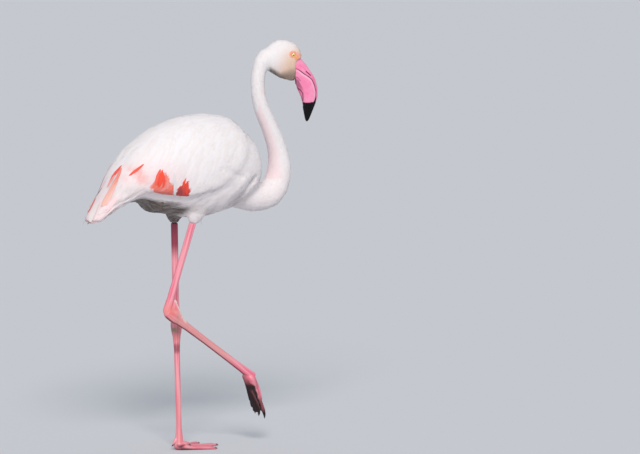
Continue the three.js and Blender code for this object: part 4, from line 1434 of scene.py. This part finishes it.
claws = {"length": 8.5, "wide": 2.5, "deep": 2.0, "hook": 1.6, "buried": 0.72, "slim": 0.6, "lowest": 0.2,
         "colour": "2b2021"}
clawPlaces = [     # tip of each toe, which way it points and which way is up there
    ((68.9, -37.6, 3.4), (0.78, -0.62, 0), (0, 0, 1)), ((94, 0, 3.4), (1, 0, 0), (0, 0, 1)),
    ((72.5, 39.3, 3.4), (0.79, 0.61, 0), (0, 0, 1)), ((-17.5, 0, 10.4), (-0.87, 0, -0.5), (-0.5, 0, 0.87)),
    ((179.2, -13.8, 65.5), (0.36, 0, -0.93), (0.93, 0, 0.36)),
    ((198.8, -20, 54.2), (0.36, 0, -0.93), (0.93, 0, 0.36)),
    ((180.7, -26.2, 61.9), (0.38, 0, -0.92), (0.92, 0, 0.38)),
    ((162.5, -19.8, 127.5), (-0.1, 0, -1), (-1, 0, 0.1)),
]


def makeClaws():
    # each claw is a ball drawn out to a hooked point; all are joined into one piece
    bpy.ops.object.select_all(action="DESELECT")
    made = []
    for tip, ahead, up in clawPlaces:
        bpy.ops.mesh.primitive_uv_sphere_add(segments=20, ring_count=14, radius=1)
        claw = bpy.context.object
        ball = pointsOf(claw)
        ahead, up = unit(np.array(ahead, float)), unit(np.array(up, float))
        side = np.cross(up, ahead)
        share = (ball[:, 2] + 1) / 2
        slim = 1 - claws["slim"] * share
        place = (np.array(tip) + ahead * ((share - claws["buried"]) * claws["length"])[:, None]
                 + side * (ball[:, 0] * claws["wide"] * slim)[:, None]
                 + up * (ball[:, 1] * claws["deep"] * slim - claws["hook"] * share ** 2)[:, None])
        place[:, 2] = np.maximum(place[:, 2], claws["lowest"])
        movePoints(claw, place * mm)
        made.append(claw)
    for claw in made:
        claw.select_set(True)
    bpy.ops.object.join()
    piece = bpy.context.view_layer.objects.active
    piece.name = piece.data.name = "claws"
    bpy.ops.object.mode_set(mode="EDIT")
    bpy.ops.mesh.select_all(action="SELECT")
    bpy.ops.mesh.normals_make_consistent(inside=False)
    bpy.ops.object.mode_set(mode="OBJECT")
    bpy.ops.object.shade_smooth()
    material, _, _ = newMaterial("clawHorn", {"Base Color": colour(claws["colour"]), "Roughness": 0.4})
    piece.data.materials.append(material)
    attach(piece, "root")


makeClaws()
print("claws made")

studio = {"sky": "e4eaf4", "skyStrength": 0.56, "floor": "d3d6da", "floorSize": 40, "sun": 2.1, "spread": 22,
          "sunFrom": (-0.38, -0.68, 0.63), "sunColour": "fffaf4"}


def softLight(name, direction, strength, spread, tint):
    # a wide sun, shining from the given direction
    bpy.ops.object.light_add(type="SUN", location=Vector(direction) * 4)
    light = bpy.context.object
    light.name = name
    light.data.energy = strength
    light.data.angle = math.radians(spread)
    light.data.color = colour(tint)[:3]
    light.rotation_mode = "QUATERNION"
    light.rotation_quaternion = Vector(direction).to_track_quat("Z", "Y")


def makeStudio():
    # a pale floor, an even sky and one soft sun
    bpy.context.scene.view_settings.view_transform = "Standard"
    world = bpy.data.worlds.new("studio")
    bpy.context.scene.world = world
    world.use_nodes = True
    background = world.node_tree.nodes["Background"]
    background.inputs["Color"].default_value = colour(studio["sky"])
    background.inputs["Strength"].default_value = studio["skyStrength"]
    softLight("key", studio["sunFrom"], studio["sun"], studio["spread"], studio["sunColour"])
    bpy.ops.mesh.primitive_plane_add(size=studio["floorSize"])
    floor = bpy.context.object
    floor.name = "floor"
    material, _, _ = newMaterial("paleFloor", {"Base Color": colour(studio["floor"]), "Roughness": 0.9})
    floor.data.materials.append(material)


makeStudio()
print("studio lit")
